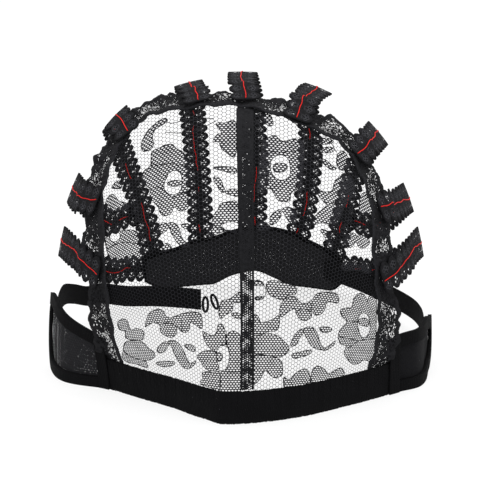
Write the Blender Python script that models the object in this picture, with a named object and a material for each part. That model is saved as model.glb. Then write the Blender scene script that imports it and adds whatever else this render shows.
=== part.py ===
"""Black lace dome cap with an elastic band, ear tabs, lace tapes and a nape piece, on its rim.

The front of the cap faces -Y and +Z is up. Left and right are as seen from the front, so left is
-X. Every piece follows one rounded form, whose middle is the middle of the rim. A place on the
form is given by two angles in degrees: over, turned from the front of the rim up and over to its
back, and aside, off the middle plane, negative to the left. Near the rim a place is given by its
bearing round the rim, 0 at the front and 180 at the back, and its height. Lift is how far a
place lies outside the form.
"""

from collections import namedtuple
from math import atan2, cos, degrees, hypot, pi, radians, sin

import bmesh
import bpy
from mathutils import Vector

# Driving sizes, in metres
CAP_WIDTH = 0.164
CAP_DEPTH = 0.176
CAP_HEIGHT = 0.1185
LACE_WALL = 0.0010
BINDING_WALL = 0.0012
TAPE_WALL = 0.0010
STRAP_WALL = 0.0012
LAYER_GAP = 0.0005
END_GAP = 0.0004
SLANT_GAP = 0.0018
BAND_WIDTH = 0.014
BAND_LAP = 0.005
TRIM_WIDTH = 0.0095
TRIM_RIPPLE = 0.0005
TRIM_RIPPLE_PITCH = 0.012
SEAM_WIDTH = 0.0055
TAPE_WIDTH = 0.0105
TAPE_LAP = 0.012
TAPE_STEP = 0.008
EAR_TAB_HEIGHT = 0.033
EAR_BINDING_WIDTH = 0.0052
NAPE_HEIGHT = 0.029
NAPE_TOP_WIDTH = 0.0062
NAPE_FOOT_WIDTH = 0.0046
MESH_INSET = 0.0012
STRAP_WIDTH = 0.0098
STRAP_GAP = 0.0006
LOOP_HEIGHT = 0.0085
LOOP_WIDTH = 0.0036
LOOP_WIRE = 0.0012

# Form of the dome: a power of 2 would be an ellipse, and more is squarer
PLAN_POWER = 2.1
RISE_POWER = 2.5
# Rise in degrees above which the rim's own outline no longer shows
RIM_FADE = 45.0

# Bearings where the band meets the ear tabs, and where the tabs end
TAB_BEARING = 50.2
TAB_END_BEARING = 83.0
# Place of the middle seam, as a share of the panel's half width
SEAM_SHARE = 0.04

# Lifts of the layers of cloth
BINDING_LIFT = LACE_WALL + LAYER_GAP
TRIM_LIFT = BINDING_LIFT + TRIM_RIPPLE
OVER_TRIM_LIFT = TRIM_LIFT + TRIM_RIPPLE + LACE_WALL + LAYER_GAP
OVER_BINDING_LIFT = BINDING_LIFT + BINDING_WALL + LAYER_GAP
STRAP_LIFT = -(STRAP_WALL + STRAP_GAP)

# Segments of the pieces, and the spacing of those along tapes and straps in metres
LACE_COLUMNS = 11
LACE_ROWS = 18
BAND_COLUMNS = 56
TAB_COLUMNS = 14
NAPE_COLUMNS = 26
TRIM_COLUMNS = 110
SEAM_COLUMNS = 22
TAPE_PITCH = 0.005
STRAP_PITCH = 0.008
LOOP_POINTS = 16
PATH_FINENESS = 24
SHARP_ANGLE = 50.0

# Outline of the rim: at each bearing, its distance from the middle as a share of the plain plan
RimRow = namedtuple("RimRow", "bearing share")
RIM_ROWS = (
    RimRow(-180, 1.000), RimRow(-100, 0.992), RimRow(-72, 1.016), RimRow(-62, 1.000),
    RimRow(-50, 0.862), RimRow(-38, 0.826), RimRow(-22, 0.850), RimRow(-9, 0.955),
    RimRow(-5, 1.000), RimRow(0, 0.995), RimRow(14, 0.956), RimRow(30, 0.922),
    RimRow(43, 0.940), RimRow(52, 0.979), RimRow(59, 1.035), RimRow(72, 1.005),
    RimRow(100, 1.000), RimRow(180, 1.000),
)

# Sides of the lace panel: at each over angle, how far aside its left and right edges lie
SideRow = namedtuple("SideRow", "over left right")
SIDE_ROWS = (
    SideRow(8, 45.5, 43.6), SideRow(18, 44.5, 43.3), SideRow(27, 43.0, 43.0),
    SideRow(36, 41.0, 40.6), SideRow(45, 38.8, 36.6), SideRow(53, 36.8, 33.8),
    SideRow(62, 35.4, 32.6), SideRow(70, 34.4, 31.5), SideRow(90, 33.5, 31.0),
)

# Top of the lace panel: at each share of its half width, how far over it reaches
TopRow = namedtuple("TopRow", "share over")
TOP_ROWS = (
    TopRow(-1.00, 66), TopRow(-0.85, 78), TopRow(-0.60, 84.5), TopRow(-0.30, 82),
    TopRow(0.00, 80.5), TopRow(0.25, 77.5), TopRow(0.50, 75.5), TopRow(0.70, 74.5),
    TopRow(0.85, 70), TopRow(1.00, 59),
)

# Ear tabs: at each bearing, lower and upper edge as shares of EAR_TAB_HEIGHT
TabRow = namedtuple("TabRow", "bearing low high")
TAB_ROWS_LEFT = (
    TabRow(50, 0.00, 0.73), TabRow(56, 0.00, 0.82), TabRow(62, 0.00, 0.91),
    TabRow(68, 0.00, 0.98), TabRow(74, 0.03, 1.00), TabRow(79, 0.28, 0.95),
    TabRow(84, 0.50, 0.88),
)
TAB_ROWS_RIGHT = (
    TabRow(50, 0.00, 0.76), TabRow(56, 0.00, 0.77), TabRow(62, 0.00, 0.75),
    TabRow(68, 0.00, 0.74), TabRow(73, 0.00, 0.72), TabRow(79, 0.09, 0.61),
    TabRow(84, 0.22, 0.53),
)

# Nape piece: at each bearing off the back, lower and upper edge as shares of NAPE_HEIGHT
NapeRow = namedtuple("NapeRow", "off_back low high")
NAPE_ROWS = (
    NapeRow(-31, 0.18, 0.60), NapeRow(-26, 0.03, 0.65), NapeRow(-20, 0.00, 0.69),
    NapeRow(-15, 0.00, 0.78), NapeRow(-9, 0.00, 0.82), NapeRow(-3, 0.14, 0.92),
    NapeRow(4, 0.22, 1.00), NapeRow(10, 0.11, 0.98), NapeRow(15, 0.01, 0.93),
    NapeRow(20, 0.00, 0.83), NapeRow(25, 0.00, 0.74), NapeRow(29, 0.02, 0.64),
    NapeRow(32, 0.15, 0.56),
)

# Lace tapes: the places they pass, from the panel's trim to where they end
Way = namedtuple("Way", "over aside")
CROWN_TAPES = (
    (Way(77, -23.5), Way(94, -28), Way(110, -30), Way(127, -30.7), Way(140, -30),
     Way(150, -29), Way(161, -27.8), Way(169.5, -27)),
    (Way(79, -8.3), Way(95, -10.6), Way(110, -11.5), Way(125, -11.4), Way(139, -11.6),
     Way(150, -11.8), Way(167.5, -12)),
    (Way(78.5, 1), Way(90, 0.3), Way(104, 0.5), Way(128, 2.6), Way(142, 3.8),
     Way(154, 3.5), Way(164, 3.6)),
    (Way(73, 11), Way(85, 13.5), Way(97, 16.2), Way(107, 15.2), Way(118, 14.8),
     Way(131, 17.2), Way(146, 18.3), Way(157, 17.8), Way(166.5, 15.5)),
    (Way(69.5, 24.5), Way(80, 28.5), Way(98, 31.9), Way(115, 32), Way(132, 30.8),
     Way(149, 30.4), Way(162, 28.8), Way(168.5, 27.5)),
)
HIGH_TAPE_LEFT = (Way(62, -33), Way(71.3, -39.8), Way(94, -45), Way(120, -46), Way(144, -41.5),
                  Way(149, -34.6), Way(150.5, -29))
HIGH_TAPE_RIGHT = (Way(59, 32), Way(65, 36.8), Way(81, 43.9), Way(112, 47.9), Way(145, 42.1),
                   Way(150.5, 35.9), Way(152, 30.5))
LOW_TAPE_LEFT = (Way(43, -37), Way(53.3, -44.1), Way(68.6, -51.5), Way(102, -59), Way(144, -56),
                 Way(165.7, -43.3), Way(171, -32))
LOW_TAPE_RIGHT = (Way(41, 36.5), Way(53.4, 46), Way(66.8, 51.2), Way(102, 59), Way(144, 56),
                  Way(164.2, 45.7), Way(171, 32.5))

# Straps: height of the strap's middle at each bearing, as a share of EAR_TAB_HEIGHT
StrapRow = namedtuple("StrapRow", "bearing height")
STRAP_ROWS_LEFT = (StrapRow(77, 0.74), StrapRow(84, 0.71), StrapRow(98, 0.66),
                   StrapRow(110, 0.50), StrapRow(121, 0.31))
STRAP_ROWS_RIGHT = (StrapRow(77, 0.42), StrapRow(84, 0.39), StrapRow(98, 0.34),
                    StrapRow(112, 0.29), StrapRow(132, 0.27), StrapRow(145, 0.32),
                    StrapRow(153, 0.35))
# Loose stretch of the left strap: shares of the half width, the half depth and the tab's height
LoosePoint = namedtuple("LoosePoint", "across back height")
STRAP_LOOSE = (LoosePoint(-0.78, 0.575, 0.25), LoosePoint(-0.65, 0.545, 0.24),
               LoosePoint(-0.50, 0.555, 0.23), LoosePoint(-0.34, 0.540, 0.22),
               LoosePoint(-0.23, 0.520, 0.21))
# Small loops on the loose end: how far each stands off the end in loop widths, how far its
# middle lies below the strap's in loop heights, and its slant
LoopRow = namedtuple("LoopRow", "name off drop slant")
LOOPS = (LoopRow("strap_loop_near", 0.60, 0.28, 0.0), LoopRow("strap_loop_far", 1.78, 0.12, 18.0))

# Colours as red, green and blue, and one roughness: the cloth is all near black
LACE_BLACK = (0.030, 0.030, 0.034)
KNIT_BLACK = (0.012, 0.012, 0.013)
TAPE_BLACK = (0.020, 0.020, 0.022)
CLOTH_ROUGHNESS = 0.85


def smooth_value(rows, key, column):
    """Value of one column at a key, on a smooth curve through the table's rows."""
    keys = [row[0] for row in rows]
    values = [getattr(row, column) for row in rows]
    last = len(rows) - 1
    if key <= keys[0]:
        return values[0]
    if key >= keys[last]:
        return values[last]
    index = max(i for i in range(last) if keys[i] <= key)

    def slope(i):
        before = max(i - 1, 0)
        after = min(i + 1, last)
        return (values[after] - values[before]) / (keys[after] - keys[before])

    span = keys[index + 1] - keys[index]
    t = (key - keys[index]) / span
    start = (2 * t**3 - 3 * t**2 + 1) * values[index] + (t**3 - 2 * t**2 + t) * span * slope(index)
    end = (3 * t**2 - 2 * t**3) * values[index + 1] + (t**3 - t**2) * span * slope(index + 1)
    return start + end


def ease(t):
    """Smooth step from 0 to 1 while t goes from 0 to 1."""
    t = min(max(t, 0.0), 1.0)
    return t * t * (3 - 2 * t)


def solve_rising(value_at, goal, low, high):
    """Argument between low and high where a rising function reaches the goal."""
    for _ in range(40):
        middle = (low + high) / 2
        if value_at(middle) < goal:
            low = middle
        else:
            high = middle
    return (low + high) / 2


def aim(over, aside):
    """Direction from the middle of the rim for two angles in degrees."""
    turn = radians(over)
    lean = radians(aside)
    return Vector((sin(lean), -cos(lean) * cos(turn), cos(lean) * sin(turn)))


def round_rim(bearing, rise):
    """Direction from the middle of the rim for a bearing and a rise in degrees."""
    turn = radians(bearing)
    climb = radians(rise)
    return Vector((cos(climb) * sin(turn), -cos(climb) * cos(turn), sin(climb)))


def form_radius(direction):
    """Distance from the middle of the rim to the form, along a unit direction."""
    across = abs(direction.x) / (CAP_WIDTH / 2)
    along = abs(direction.y) / (CAP_DEPTH / 2)
    plan = (across**PLAN_POWER + along**PLAN_POWER) ** (1 / PLAN_POWER)
    climb = max(direction.z, 0.0) / CAP_HEIGHT
    plain = (plan**RISE_POWER + climb**RISE_POWER) ** (-1 / RISE_POWER)
    bearing = degrees(atan2(direction.x, -direction.y))
    rise = degrees(atan2(direction.z, hypot(direction.x, direction.y)))
    rim_share = smooth_value(RIM_ROWS, bearing, "share")
    return plain * (1 + (rim_share - 1) * (1 - ease(rise / RIM_FADE)))


def on_form(direction, lift):
    """Point on the form along a direction, raised by the lift."""
    unit = direction.normalized()
    return unit * (form_radius(unit) + lift)


def near_rim(bearing, height, lift):
    """Point on the form at a bearing in degrees and a height above the rim's plane."""
    if height <= 0.0:
        return on_form(round_rim(bearing, 0.0), lift)
    rise = solve_rising(lambda angle: on_form(round_rim(bearing, angle), 0.0).z, height, 0.0, 80.0)
    return on_form(round_rim(bearing, rise), lift)


def set_material(piece, colour):
    """Gives a piece its own cloth material."""
    material = bpy.data.materials.new(piece.name + "_cloth")
    material.use_nodes = True
    shader = material.node_tree.nodes["Principled BSDF"]
    shader.inputs["Base Color"].default_value = (*colour, 1.0)
    shader.inputs["Roughness"].default_value = CLOTH_ROUGHNESS
    shader.inputs["Metallic"].default_value = 0.0
    piece.data.materials.append(material)


def cloth_wall(name, surface, columns, rows, wall, collection, colour):
    """Closed wall of cloth: a flat grid is extruded, then laid on surface(along, across, lift)."""
    cloth = bmesh.new()
    bmesh.ops.create_grid(cloth, x_segments=columns, y_segments=rows, size=0.5)
    result = bmesh.ops.extrude_face_region(cloth, geom=cloth.faces[:], use_keep_orig=True)
    outer = {item for item in result["geom"] if isinstance(item, bmesh.types.BMVert)}
    for vert in cloth.verts:
        lift = wall if vert in outer else 0.0
        vert.co = surface(vert.co.x + 0.5, vert.co.y + 0.5, lift)
    if cloth.calc_volume(signed=True) < 0:
        bmesh.ops.reverse_faces(cloth, faces=cloth.faces[:])
    mesh = bpy.data.meshes.new(name)
    cloth.to_mesh(mesh)
    cloth.free()
    mesh.shade_smooth()
    mesh.set_sharp_from_angle(angle=radians(SHARP_ANGLE))
    piece = bpy.data.objects.new(name, mesh)
    collection.objects.link(piece)
    set_material(piece, colour)
    return piece


def smooth_path(points, columns=None, pitch=None):
    """Evenly spaced places on a smooth curve through the points, and the curve's length."""
    fine = []
    for index in range(len(points) - 1):
        before = points[max(index - 1, 0)]
        start = points[index]
        end = points[index + 1]
        after = points[min(index + 2, len(points) - 1)]
        for step in range(PATH_FINENESS):
            t = step / PATH_FINENESS
            fine.append(0.5 * (2 * start + (end - before) * t
                               + (2 * before - 5 * start + 4 * end - after) * t**2
                               + (3 * start - before - 3 * end + after) * t**3))
    fine.append(points[-1])
    runs = [0.0]
    for here, there in zip(fine, fine[1:]):
        runs.append(runs[-1] + (there - here).length)
    if columns is None:
        columns = max(2, round(runs[-1] / pitch))
    places = []
    index = 0
    for column in range(columns + 1):
        goal = runs[-1] * column / columns
        while index < len(fine) - 2 and runs[index + 1] < goal:
            index += 1
        t = (goal - runs[index]) / (runs[index + 1] - runs[index])
        places.append(fine[index].lerp(fine[index + 1], t))
    return places, runs[-1]


def strip_wall(name, places, width, lift_at, rows, wall, collection, colour):
    """Strip of cloth along places on the form, lifted by lift_at(along, across, target)."""
    columns = len(places) - 1

    def surface(along, across, lift):
        index = round(along * columns)
        ahead = places[min(index + 1, columns)] - places[max(index - 1, 0)]
        side = places[index].cross(ahead).normalized()
        target = places[index] + side * width * (across - 0.5)
        return on_form(target, lift_at(along, across, target) + lift)

    return cloth_wall(name, surface, columns, rows, wall, collection, colour)


def side_aside(share, over):
    """How far aside the panel's edge lies, on the side that the share is on."""
    return smooth_value(SIDE_ROWS, over, "left" if share < 0 else "right")


def panel_point(share, over, lift):
    """Point of the lace panel at a share of its half width and an over angle."""
    return on_form(aim(over, share * side_aside(share, over)), lift)


def over_at_height(share, height):
    """Over angle where the panel's column at a share of its half width reaches a height."""
    return solve_rising(lambda over: panel_point(share, over, 0.0).z, height, 0.0, 60.0)


def top_over(share):
    """Over angle of the panel's top edge at a share of its half width."""
    return smooth_value(TOP_ROWS, share, "over")


def make_lace(collection):
    """Two halves of the flower lace panel, from under the band up to under the trim."""
    foot_height = BAND_WIDTH - BAND_LAP
    seam_gap = END_GAP / CAP_WIDTH
    for name, start, end in (("lace_left", -1.0, SEAM_SHARE - seam_gap),
                             ("lace_right", SEAM_SHARE + seam_gap, 1.0)):

        def surface(along, across, lift, start=start, end=end):
            share = start + (end - start) * along
            foot = over_at_height(share, foot_height)
            return panel_point(share, foot + (top_over(share) - foot) * across, lift)

        cloth_wall(name, surface, LACE_COLUMNS, LACE_ROWS, LACE_WALL, collection, LACE_BLACK)


def make_seam(collection):
    """Narrow double lace seam over the joint of the two halves, from the band to the trim."""
    foot = over_at_height(SEAM_SHARE, BAND_WIDTH + END_GAP)
    top = top_over(SEAM_SHARE)
    trim_reach = TRIM_WIDTH / 2 + SLANT_GAP
    while (panel_point(SEAM_SHARE, top, 0.0)
           - panel_point(SEAM_SHARE, top_over(SEAM_SHARE), 0.0)).length < trim_reach:
        top -= 0.1
    points = [panel_point(SEAM_SHARE, foot + (top - foot) * step / 4, 0.0) for step in range(5)]
    places, _ = smooth_path(points, columns=SEAM_COLUMNS)
    strip_wall("centre_seam", places, SEAM_WIDTH, lambda along, across, target: BINDING_LIFT, 1,
               LACE_WALL, collection, LACE_BLACK)


def make_trim(collection):
    """Gathered lace trim up one side of the panel, over its top and down; returns its places."""
    edge = []
    for share in (-1.0, 1.0):
        foot = over_at_height(share, BAND_WIDTH + SLANT_GAP)
        top = top_over(share)
        side = [panel_point(share, foot + (top - foot) * step / 5, 0.0) for step in range(6)]
        edge.append(side)
    across_top = [panel_point(row.share, row.over, 0.0) for row in TOP_ROWS[1:-1]]
    points = edge[0] + across_top + edge[1][::-1]
    places, length = smooth_path(points, columns=TRIM_COLUMNS)
    ripples = round(length / TRIM_RIPPLE_PITCH)

    def lift_at(along, across, target):
        phase = 2 * pi * ripples * along + pi * across
        return TRIM_LIFT + TRIM_RIPPLE * sin(phase)

    strip_wall("edge_trim", places, TRIM_WIDTH, lift_at, 2, LACE_WALL, collection, LACE_BLACK)
    return places


def make_band(collection):
    """Wide knitted elastic across the forehead, standing on its lower edge."""

    def surface(along, across, lift):
        bearing = -TAB_BEARING + 2 * TAB_BEARING * along
        return near_rim(bearing, BAND_WIDTH * across, BINDING_LIFT + lift)

    cloth_wall("front_band", surface, BAND_COLUMNS, 2, BINDING_WALL, collection, KNIT_BLACK)


def make_ear_tab(side, rows, collection):
    """Mesh sideburn tab on one side with its two elastic bindings; side is -1 or 1."""
    label = "left" if side < 0 else "right"
    gap_angle = degrees(2 * END_GAP / CAP_WIDTH)
    start = TAB_BEARING + gap_angle

    def edges(along):
        bearing = start + (TAB_END_BEARING - start) * along
        low = EAR_TAB_HEIGHT * smooth_value(rows, bearing, "low")
        high = EAR_TAB_HEIGHT * smooth_value(rows, bearing, "high")
        return bearing * side, max(low, 0.0), high

    def mesh_surface(along, across, lift):
        bearing, low, high = edges(along)
        height = low + MESH_INSET + (high - low - 2 * MESH_INSET) * across
        return near_rim(bearing, height, lift)

    def top_surface(along, across, lift):
        bearing, low, high = edges(along)
        width = min(EAR_BINDING_WIDTH, (high - low - END_GAP) / 2)
        return near_rim(bearing, high - width * (1 - across), BINDING_LIFT + lift)

    def foot_surface(along, across, lift):
        bearing, low, high = edges(along)
        width = min(EAR_BINDING_WIDTH, (high - low - END_GAP) / 2 - END_GAP)
        return near_rim(bearing, low + width * across, BINDING_LIFT + lift)

    cloth_wall("ear_tab_" + label, mesh_surface, TAB_COLUMNS, 3, LACE_WALL, collection, LACE_BLACK)
    cloth_wall("ear_top_" + label, top_surface, TAB_COLUMNS, 1, BINDING_WALL, collection, KNIT_BLACK)
    cloth_wall("ear_foot_" + label, foot_surface, TAB_COLUMNS, 1, BINDING_WALL, collection,
               KNIT_BLACK)


def make_nape(collection):
    """Mesh crescent at the nape with an elastic binding along each edge."""
    first = NAPE_ROWS[0].off_back
    last = NAPE_ROWS[-1].off_back

    def edges(along):
        off_back = first + (last - first) * along
        bearing = 180 - off_back if off_back > 0 else -180 - off_back
        low = NAPE_HEIGHT * smooth_value(NAPE_ROWS, off_back, "low")
        high = NAPE_HEIGHT * smooth_value(NAPE_ROWS, off_back, "high")
        return bearing, max(low, 0.0), high

    def mesh_surface(along, across, lift):
        bearing, low, high = edges(along)
        height = low + MESH_INSET + (high - low - 2 * MESH_INSET) * across
        return near_rim(bearing, height, lift)

    def top_surface(along, across, lift):
        bearing, low, high = edges(along)
        return near_rim(bearing, high - NAPE_TOP_WIDTH * (1 - across), BINDING_LIFT + lift)

    def foot_surface(along, across, lift):
        bearing, low, high = edges(along)
        return near_rim(bearing, low + NAPE_FOOT_WIDTH * across, BINDING_LIFT + lift)

    cloth_wall("nape_panel", mesh_surface, NAPE_COLUMNS, 2, LACE_WALL, collection, LACE_BLACK)
    cloth_wall("nape_top", top_surface, NAPE_COLUMNS, 1, BINDING_WALL, collection, KNIT_BLACK)
    cloth_wall("nape_foot", foot_surface, NAPE_COLUMNS, 1, BINDING_WALL, collection, KNIT_BLACK)


def make_tape(name, ways, trim_places, end_lift, collection):
    """Scalloped lace tape: it starts over the trim, drops onto the form and ends at end_lift."""
    trim_reach = (TRIM_WIDTH + TAPE_PITCH) / 2
    points = [on_form(aim(way.over, way.aside), 0.0) for way in ways]
    places, length = smooth_path(points, pitch=TAPE_PITCH)

    def lift_at(along, across, target):
        from_trim = min((target - spot).length for spot in trim_places)
        to_end = length * (1 - along)
        start = 1 - ease((from_trim - trim_reach) / TAPE_STEP)
        end = 1 - ease((to_end - TAPE_LAP) / TAPE_STEP)
        low = LAYER_GAP
        return low + (OVER_TRIM_LIFT - low) * start + (end_lift - low) * end

    strip_wall(name, places, TAPE_WIDTH, lift_at, 2, TAPE_WALL, collection, TAPE_BLACK)


def make_tapes(trim_places, collection):
    """Crown tapes to the nape, high side tapes to the outer crown tapes, low ones to the nape."""
    for number, ways in enumerate(CROWN_TAPES, start=1):
        make_tape(f"crown_tape_{number}", ways, trim_places, OVER_BINDING_LIFT, collection)
    over_tape_lift = LAYER_GAP + TAPE_WALL + LAYER_GAP
    make_tape("side_tape_high_left", HIGH_TAPE_LEFT, trim_places, over_tape_lift, collection)
    make_tape("side_tape_high_right", HIGH_TAPE_RIGHT, trim_places, over_tape_lift, collection)
    make_tape("side_tape_low_left", LOW_TAPE_LEFT, trim_places, OVER_BINDING_LIFT, collection)
    make_tape("side_tape_low_right", LOW_TAPE_RIGHT, trim_places, OVER_BINDING_LIFT, collection)


def make_strap(name, lows, highs, collection):
    """Elastic strap between its lower and upper edge points; returns its end's middle."""
    low_places, _ = smooth_path(lows, pitch=STRAP_PITCH)
    columns = len(low_places) - 1
    high_places, _ = smooth_path(highs, columns=columns)

    def surface(along, across, lift):
        index = round(along * columns)
        ahead = low_places[min(index + 1, columns)] - low_places[max(index - 1, 0)]
        rise = high_places[index] - low_places[index]
        outward = ahead.cross(rise).normalized()
        if outward.dot(low_places[index]) < 0:
            outward = -outward
        return low_places[index] + rise * across + outward * lift

    cloth_wall(name, surface, columns, 1, STRAP_WALL, collection, KNIT_BLACK)
    return (low_places[-1] + high_places[-1]) / 2


def strap_edges(rows, side):
    """Lower and upper edge points of a strap that lies inside the cap's wall."""
    edges = []
    for off in (-STRAP_WIDTH / 2, STRAP_WIDTH / 2):
        edges.append([near_rim(side * row.bearing, EAR_TAB_HEIGHT * row.height + off, STRAP_LIFT)
                      for row in rows])
    return edges


def make_straps(collection):
    """Right strap fastened at the nape, and left strap hanging loose with two small loops."""
    lows, highs = strap_edges(STRAP_ROWS_RIGHT, 1)
    make_strap("strap_right", lows, highs, collection)
    lows, highs = strap_edges(STRAP_ROWS_LEFT, -1)
    for row in STRAP_LOOSE:
        middle = Vector((row.across * CAP_WIDTH / 2, row.back * CAP_DEPTH / 2,
                         row.height * EAR_TAB_HEIGHT))
        rise = Vector((0.0, 0.0, STRAP_WIDTH / 2))
        lows.append(middle - rise)
        highs.append(middle + rise)
    strap_end = make_strap("strap_left", lows, highs, collection)
    for row in LOOPS:
        make_loop(row, strap_end, collection)


def make_loop(row, strap_end, collection):
    """Small upright loop of cord beside the loose strap's end."""
    curve = bpy.data.curves.new(row.name, "CURVE")
    curve.dimensions = "3D"
    curve.bevel_depth = LOOP_WIRE / 2
    curve.bevel_resolution = 2
    spline = curve.splines.new("POLY")
    spline.points.add(LOOP_POINTS - 1)
    spline.use_cyclic_u = True
    reach = (LOOP_WIDTH - LOOP_WIRE) / 2
    rise = (LOOP_HEIGHT - LOOP_WIRE) / 2
    for index, point in enumerate(spline.points):
        turn = 2 * pi * index / LOOP_POINTS
        point.co = (reach * cos(turn), 0.0, rise * sin(turn), 1.0)
    loop = bpy.data.objects.new(row.name, curve)
    loop.location = (strap_end.x + row.off * LOOP_WIDTH, strap_end.y + STRAP_WALL / 2,
                     strap_end.z - row.drop * LOOP_HEIGHT)
    loop.rotation_euler = (0.0, -radians(row.slant), 0.0)
    collection.objects.link(loop)
    set_material(loop, KNIT_BLACK)


def stand_at_origin(collection):
    """Moves the pieces so that the middle of the whole box's underside is the origin."""
    bpy.context.view_layer.update()
    corners = [piece.matrix_world @ Vector(corner)
               for piece in collection.objects for corner in piece.bound_box]
    middle_x = (min(c.x for c in corners) + max(c.x for c in corners)) / 2
    middle_y = (min(c.y for c in corners) + max(c.y for c in corners)) / 2
    for piece in collection.objects:
        piece.location -= Vector((middle_x, middle_y, 0.0))


def build_cap():
    """Removes what the scene holds and builds the cap in its own collection."""
    for old in list(bpy.data.objects):
        bpy.data.objects.remove(old, do_unlink=True)
    collection = bpy.data.collections.new("lace_dome_cap")
    bpy.context.scene.collection.children.link(collection)
    make_lace(collection)
    make_seam(collection)
    trim_places = make_trim(collection)
    make_band(collection)
    make_ear_tab(-1, TAB_ROWS_LEFT, collection)
    make_ear_tab(1, TAB_ROWS_RIGHT, collection)
    make_nape(collection)
    make_tapes(trim_places, collection)
    make_straps(collection)
    stand_at_origin(collection)


build_cap()
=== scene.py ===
"""Looks of the black lace dome cap: its cloth, nets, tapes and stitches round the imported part."""

from math import cos, pi, radians, sin, sqrt

import bpy
import numpy as np
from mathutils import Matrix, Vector
from mathutils.kdtree import KDTree


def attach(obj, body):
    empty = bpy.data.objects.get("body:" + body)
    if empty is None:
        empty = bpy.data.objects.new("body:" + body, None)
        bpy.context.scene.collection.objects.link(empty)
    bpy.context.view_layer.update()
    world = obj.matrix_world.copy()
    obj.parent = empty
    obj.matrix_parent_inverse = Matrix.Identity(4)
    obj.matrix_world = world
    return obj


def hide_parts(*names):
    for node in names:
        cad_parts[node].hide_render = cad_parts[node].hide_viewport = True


# Sizes of the solids, in metres, as the part's source has them
CAP_WIDTH = 0.164
CAP_DEPTH = 0.176
CAP_HEIGHT = 0.1185
CAP_OFFSET = np.array((0.0001608, -0.0002548, 0.0))
LACE_WALL = 0.0010
BINDING_WALL = 0.0012
TAPE_WALL = 0.0010
STRAP_WALL = 0.0012
LAYER_GAP = 0.0005
END_GAP = 0.0004
SLANT_GAP = 0.0018
BAND_WIDTH = 0.014
BAND_LAP = 0.005
TRIM_WIDTH = 0.0095
TRIM_RIPPLE = 0.0005
TRIM_RIPPLE_PITCH = 0.012
SEAM_WIDTH = 0.0055
TAPE_WIDTH = 0.0105
TAPE_LAP = 0.012
TAPE_STEP = 0.008
TAPE_PITCH = 0.005
EAR_TAB_HEIGHT = 0.033
EAR_BINDING_WIDTH = 0.0052
NAPE_HEIGHT = 0.029
NAPE_TOP_WIDTH = 0.0062
NAPE_FOOT_WIDTH = 0.0046
STRAP_WIDTH = 0.0098
STRAP_GAP = 0.0006
PLAN_POWER = 2.1
RISE_POWER = 2.5
RIM_FADE = 45.0
TAB_BEARING = 50.2
TAB_END_BEARING = 83.0
SEAM_SHARE = 0.04
BINDING_LIFT = LACE_WALL + LAYER_GAP
TRIM_LIFT = BINDING_LIFT + TRIM_RIPPLE
OVER_TRIM_LIFT = TRIM_LIFT + TRIM_RIPPLE + LACE_WALL + LAYER_GAP
OVER_BINDING_LIFT = BINDING_LIFT + BINDING_WALL + LAYER_GAP

# Outline tables, as the part's source has them: angles in degrees and shares. The ear tabs' rows
# at 88 degrees are the scene's own, where their cloth tapers into the straps.
RIM_ROWS = ((-180, 1.000), (-100, 0.992), (-72, 1.016), (-62, 1.000), (-50, 0.862), (-38, 0.826),
            (-22, 0.850), (-9, 0.955), (-5, 1.000), (0, 0.995), (14, 0.956), (30, 0.922),
            (43, 0.940), (52, 0.979), (59, 1.035), (72, 1.005), (100, 1.000), (180, 1.000))
LEFT_SIDE_ROWS = ((8, 45.5), (18, 44.5), (27, 43.0), (36, 41.0), (45, 38.8), (53, 36.8),
                  (62, 35.4), (70, 34.4), (90, 33.5))
RIGHT_SIDE_ROWS = ((8, 43.6), (18, 43.3), (27, 43.0), (36, 40.6), (45, 36.6), (53, 33.8),
                   (62, 32.6), (70, 31.5), (90, 31.0))
TOP_ROWS = ((-1.00, 66), (-0.85, 78), (-0.60, 84.5), (-0.30, 82), (0.00, 80.5), (0.25, 77.5),
            (0.50, 75.5), (0.70, 74.5), (0.85, 70), (1.00, 59))
TAB_ROWS_LEFT = ((50, 0.00, 0.73), (56, 0.00, 0.82), (62, 0.00, 0.91), (68, 0.00, 0.98),
                 (74, 0.03, 1.00), (79, 0.28, 0.95), (84, 0.50, 0.88), (88, 0.575, 0.80))
TAB_ROWS_RIGHT = ((50, 0.00, 0.76), (56, 0.00, 0.77), (62, 0.00, 0.75), (68, 0.00, 0.74),
                  (73, 0.00, 0.72), (79, 0.09, 0.61), (84, 0.22, 0.53), (88, 0.235, 0.53))
NAPE_ROWS = ((-31, 0.18, 0.60), (-26, 0.03, 0.65), (-20, 0.00, 0.69), (-15, 0.00, 0.78),
             (-9, 0.00, 0.82), (-3, 0.14, 0.92), (4, 0.22, 1.00), (10, 0.11, 0.98),
             (15, 0.01, 0.93), (20, 0.00, 0.83), (25, 0.00, 0.74), (29, 0.02, 0.64),
             (32, 0.15, 0.56))
CROWN_TAPES = (
    ((77, -23.5), (94, -28), (110, -30), (127, -30.7), (140, -30), (150, -29), (161, -27.8),
     (169.5, -27)),
    ((79, -8.3), (95, -10.6), (110, -11.5), (125, -11.4), (139, -11.6), (150, -11.8),
     (167.5, -12)),
    ((78.5, 1), (90, 0.3), (104, 0.5), (128, 2.6), (142, 3.8), (154, 3.5), (164, 3.6)),
    ((73, 11), (85, 13.5), (97, 16.2), (107, 15.2), (118, 14.8), (131, 17.2), (146, 18.3),
     (157, 17.8), (166.5, 15.5)),
    ((69.5, 24.5), (80, 28.5), (98, 31.9), (115, 32), (132, 30.8), (149, 30.4), (162, 28.8),
     (168.5, 27.5)),
)
HIGH_TAPE_LEFT = ((62, -33), (71.3, -39.8), (94, -45), (120, -46), (144, -41.5), (149, -34.6),
                  (150.5, -29))
HIGH_TAPE_RIGHT = ((59, 32), (65, 36.8), (81, 43.9), (112, 47.9), (145, 42.1), (150.5, 35.9),
                   (152, 30.5))
LOW_TAPE_LEFT = ((43, -37), (53.3, -44.1), (68.6, -51.5), (102, -59), (144, -56),
                 (165.7, -43.3), (171, -32))
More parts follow.
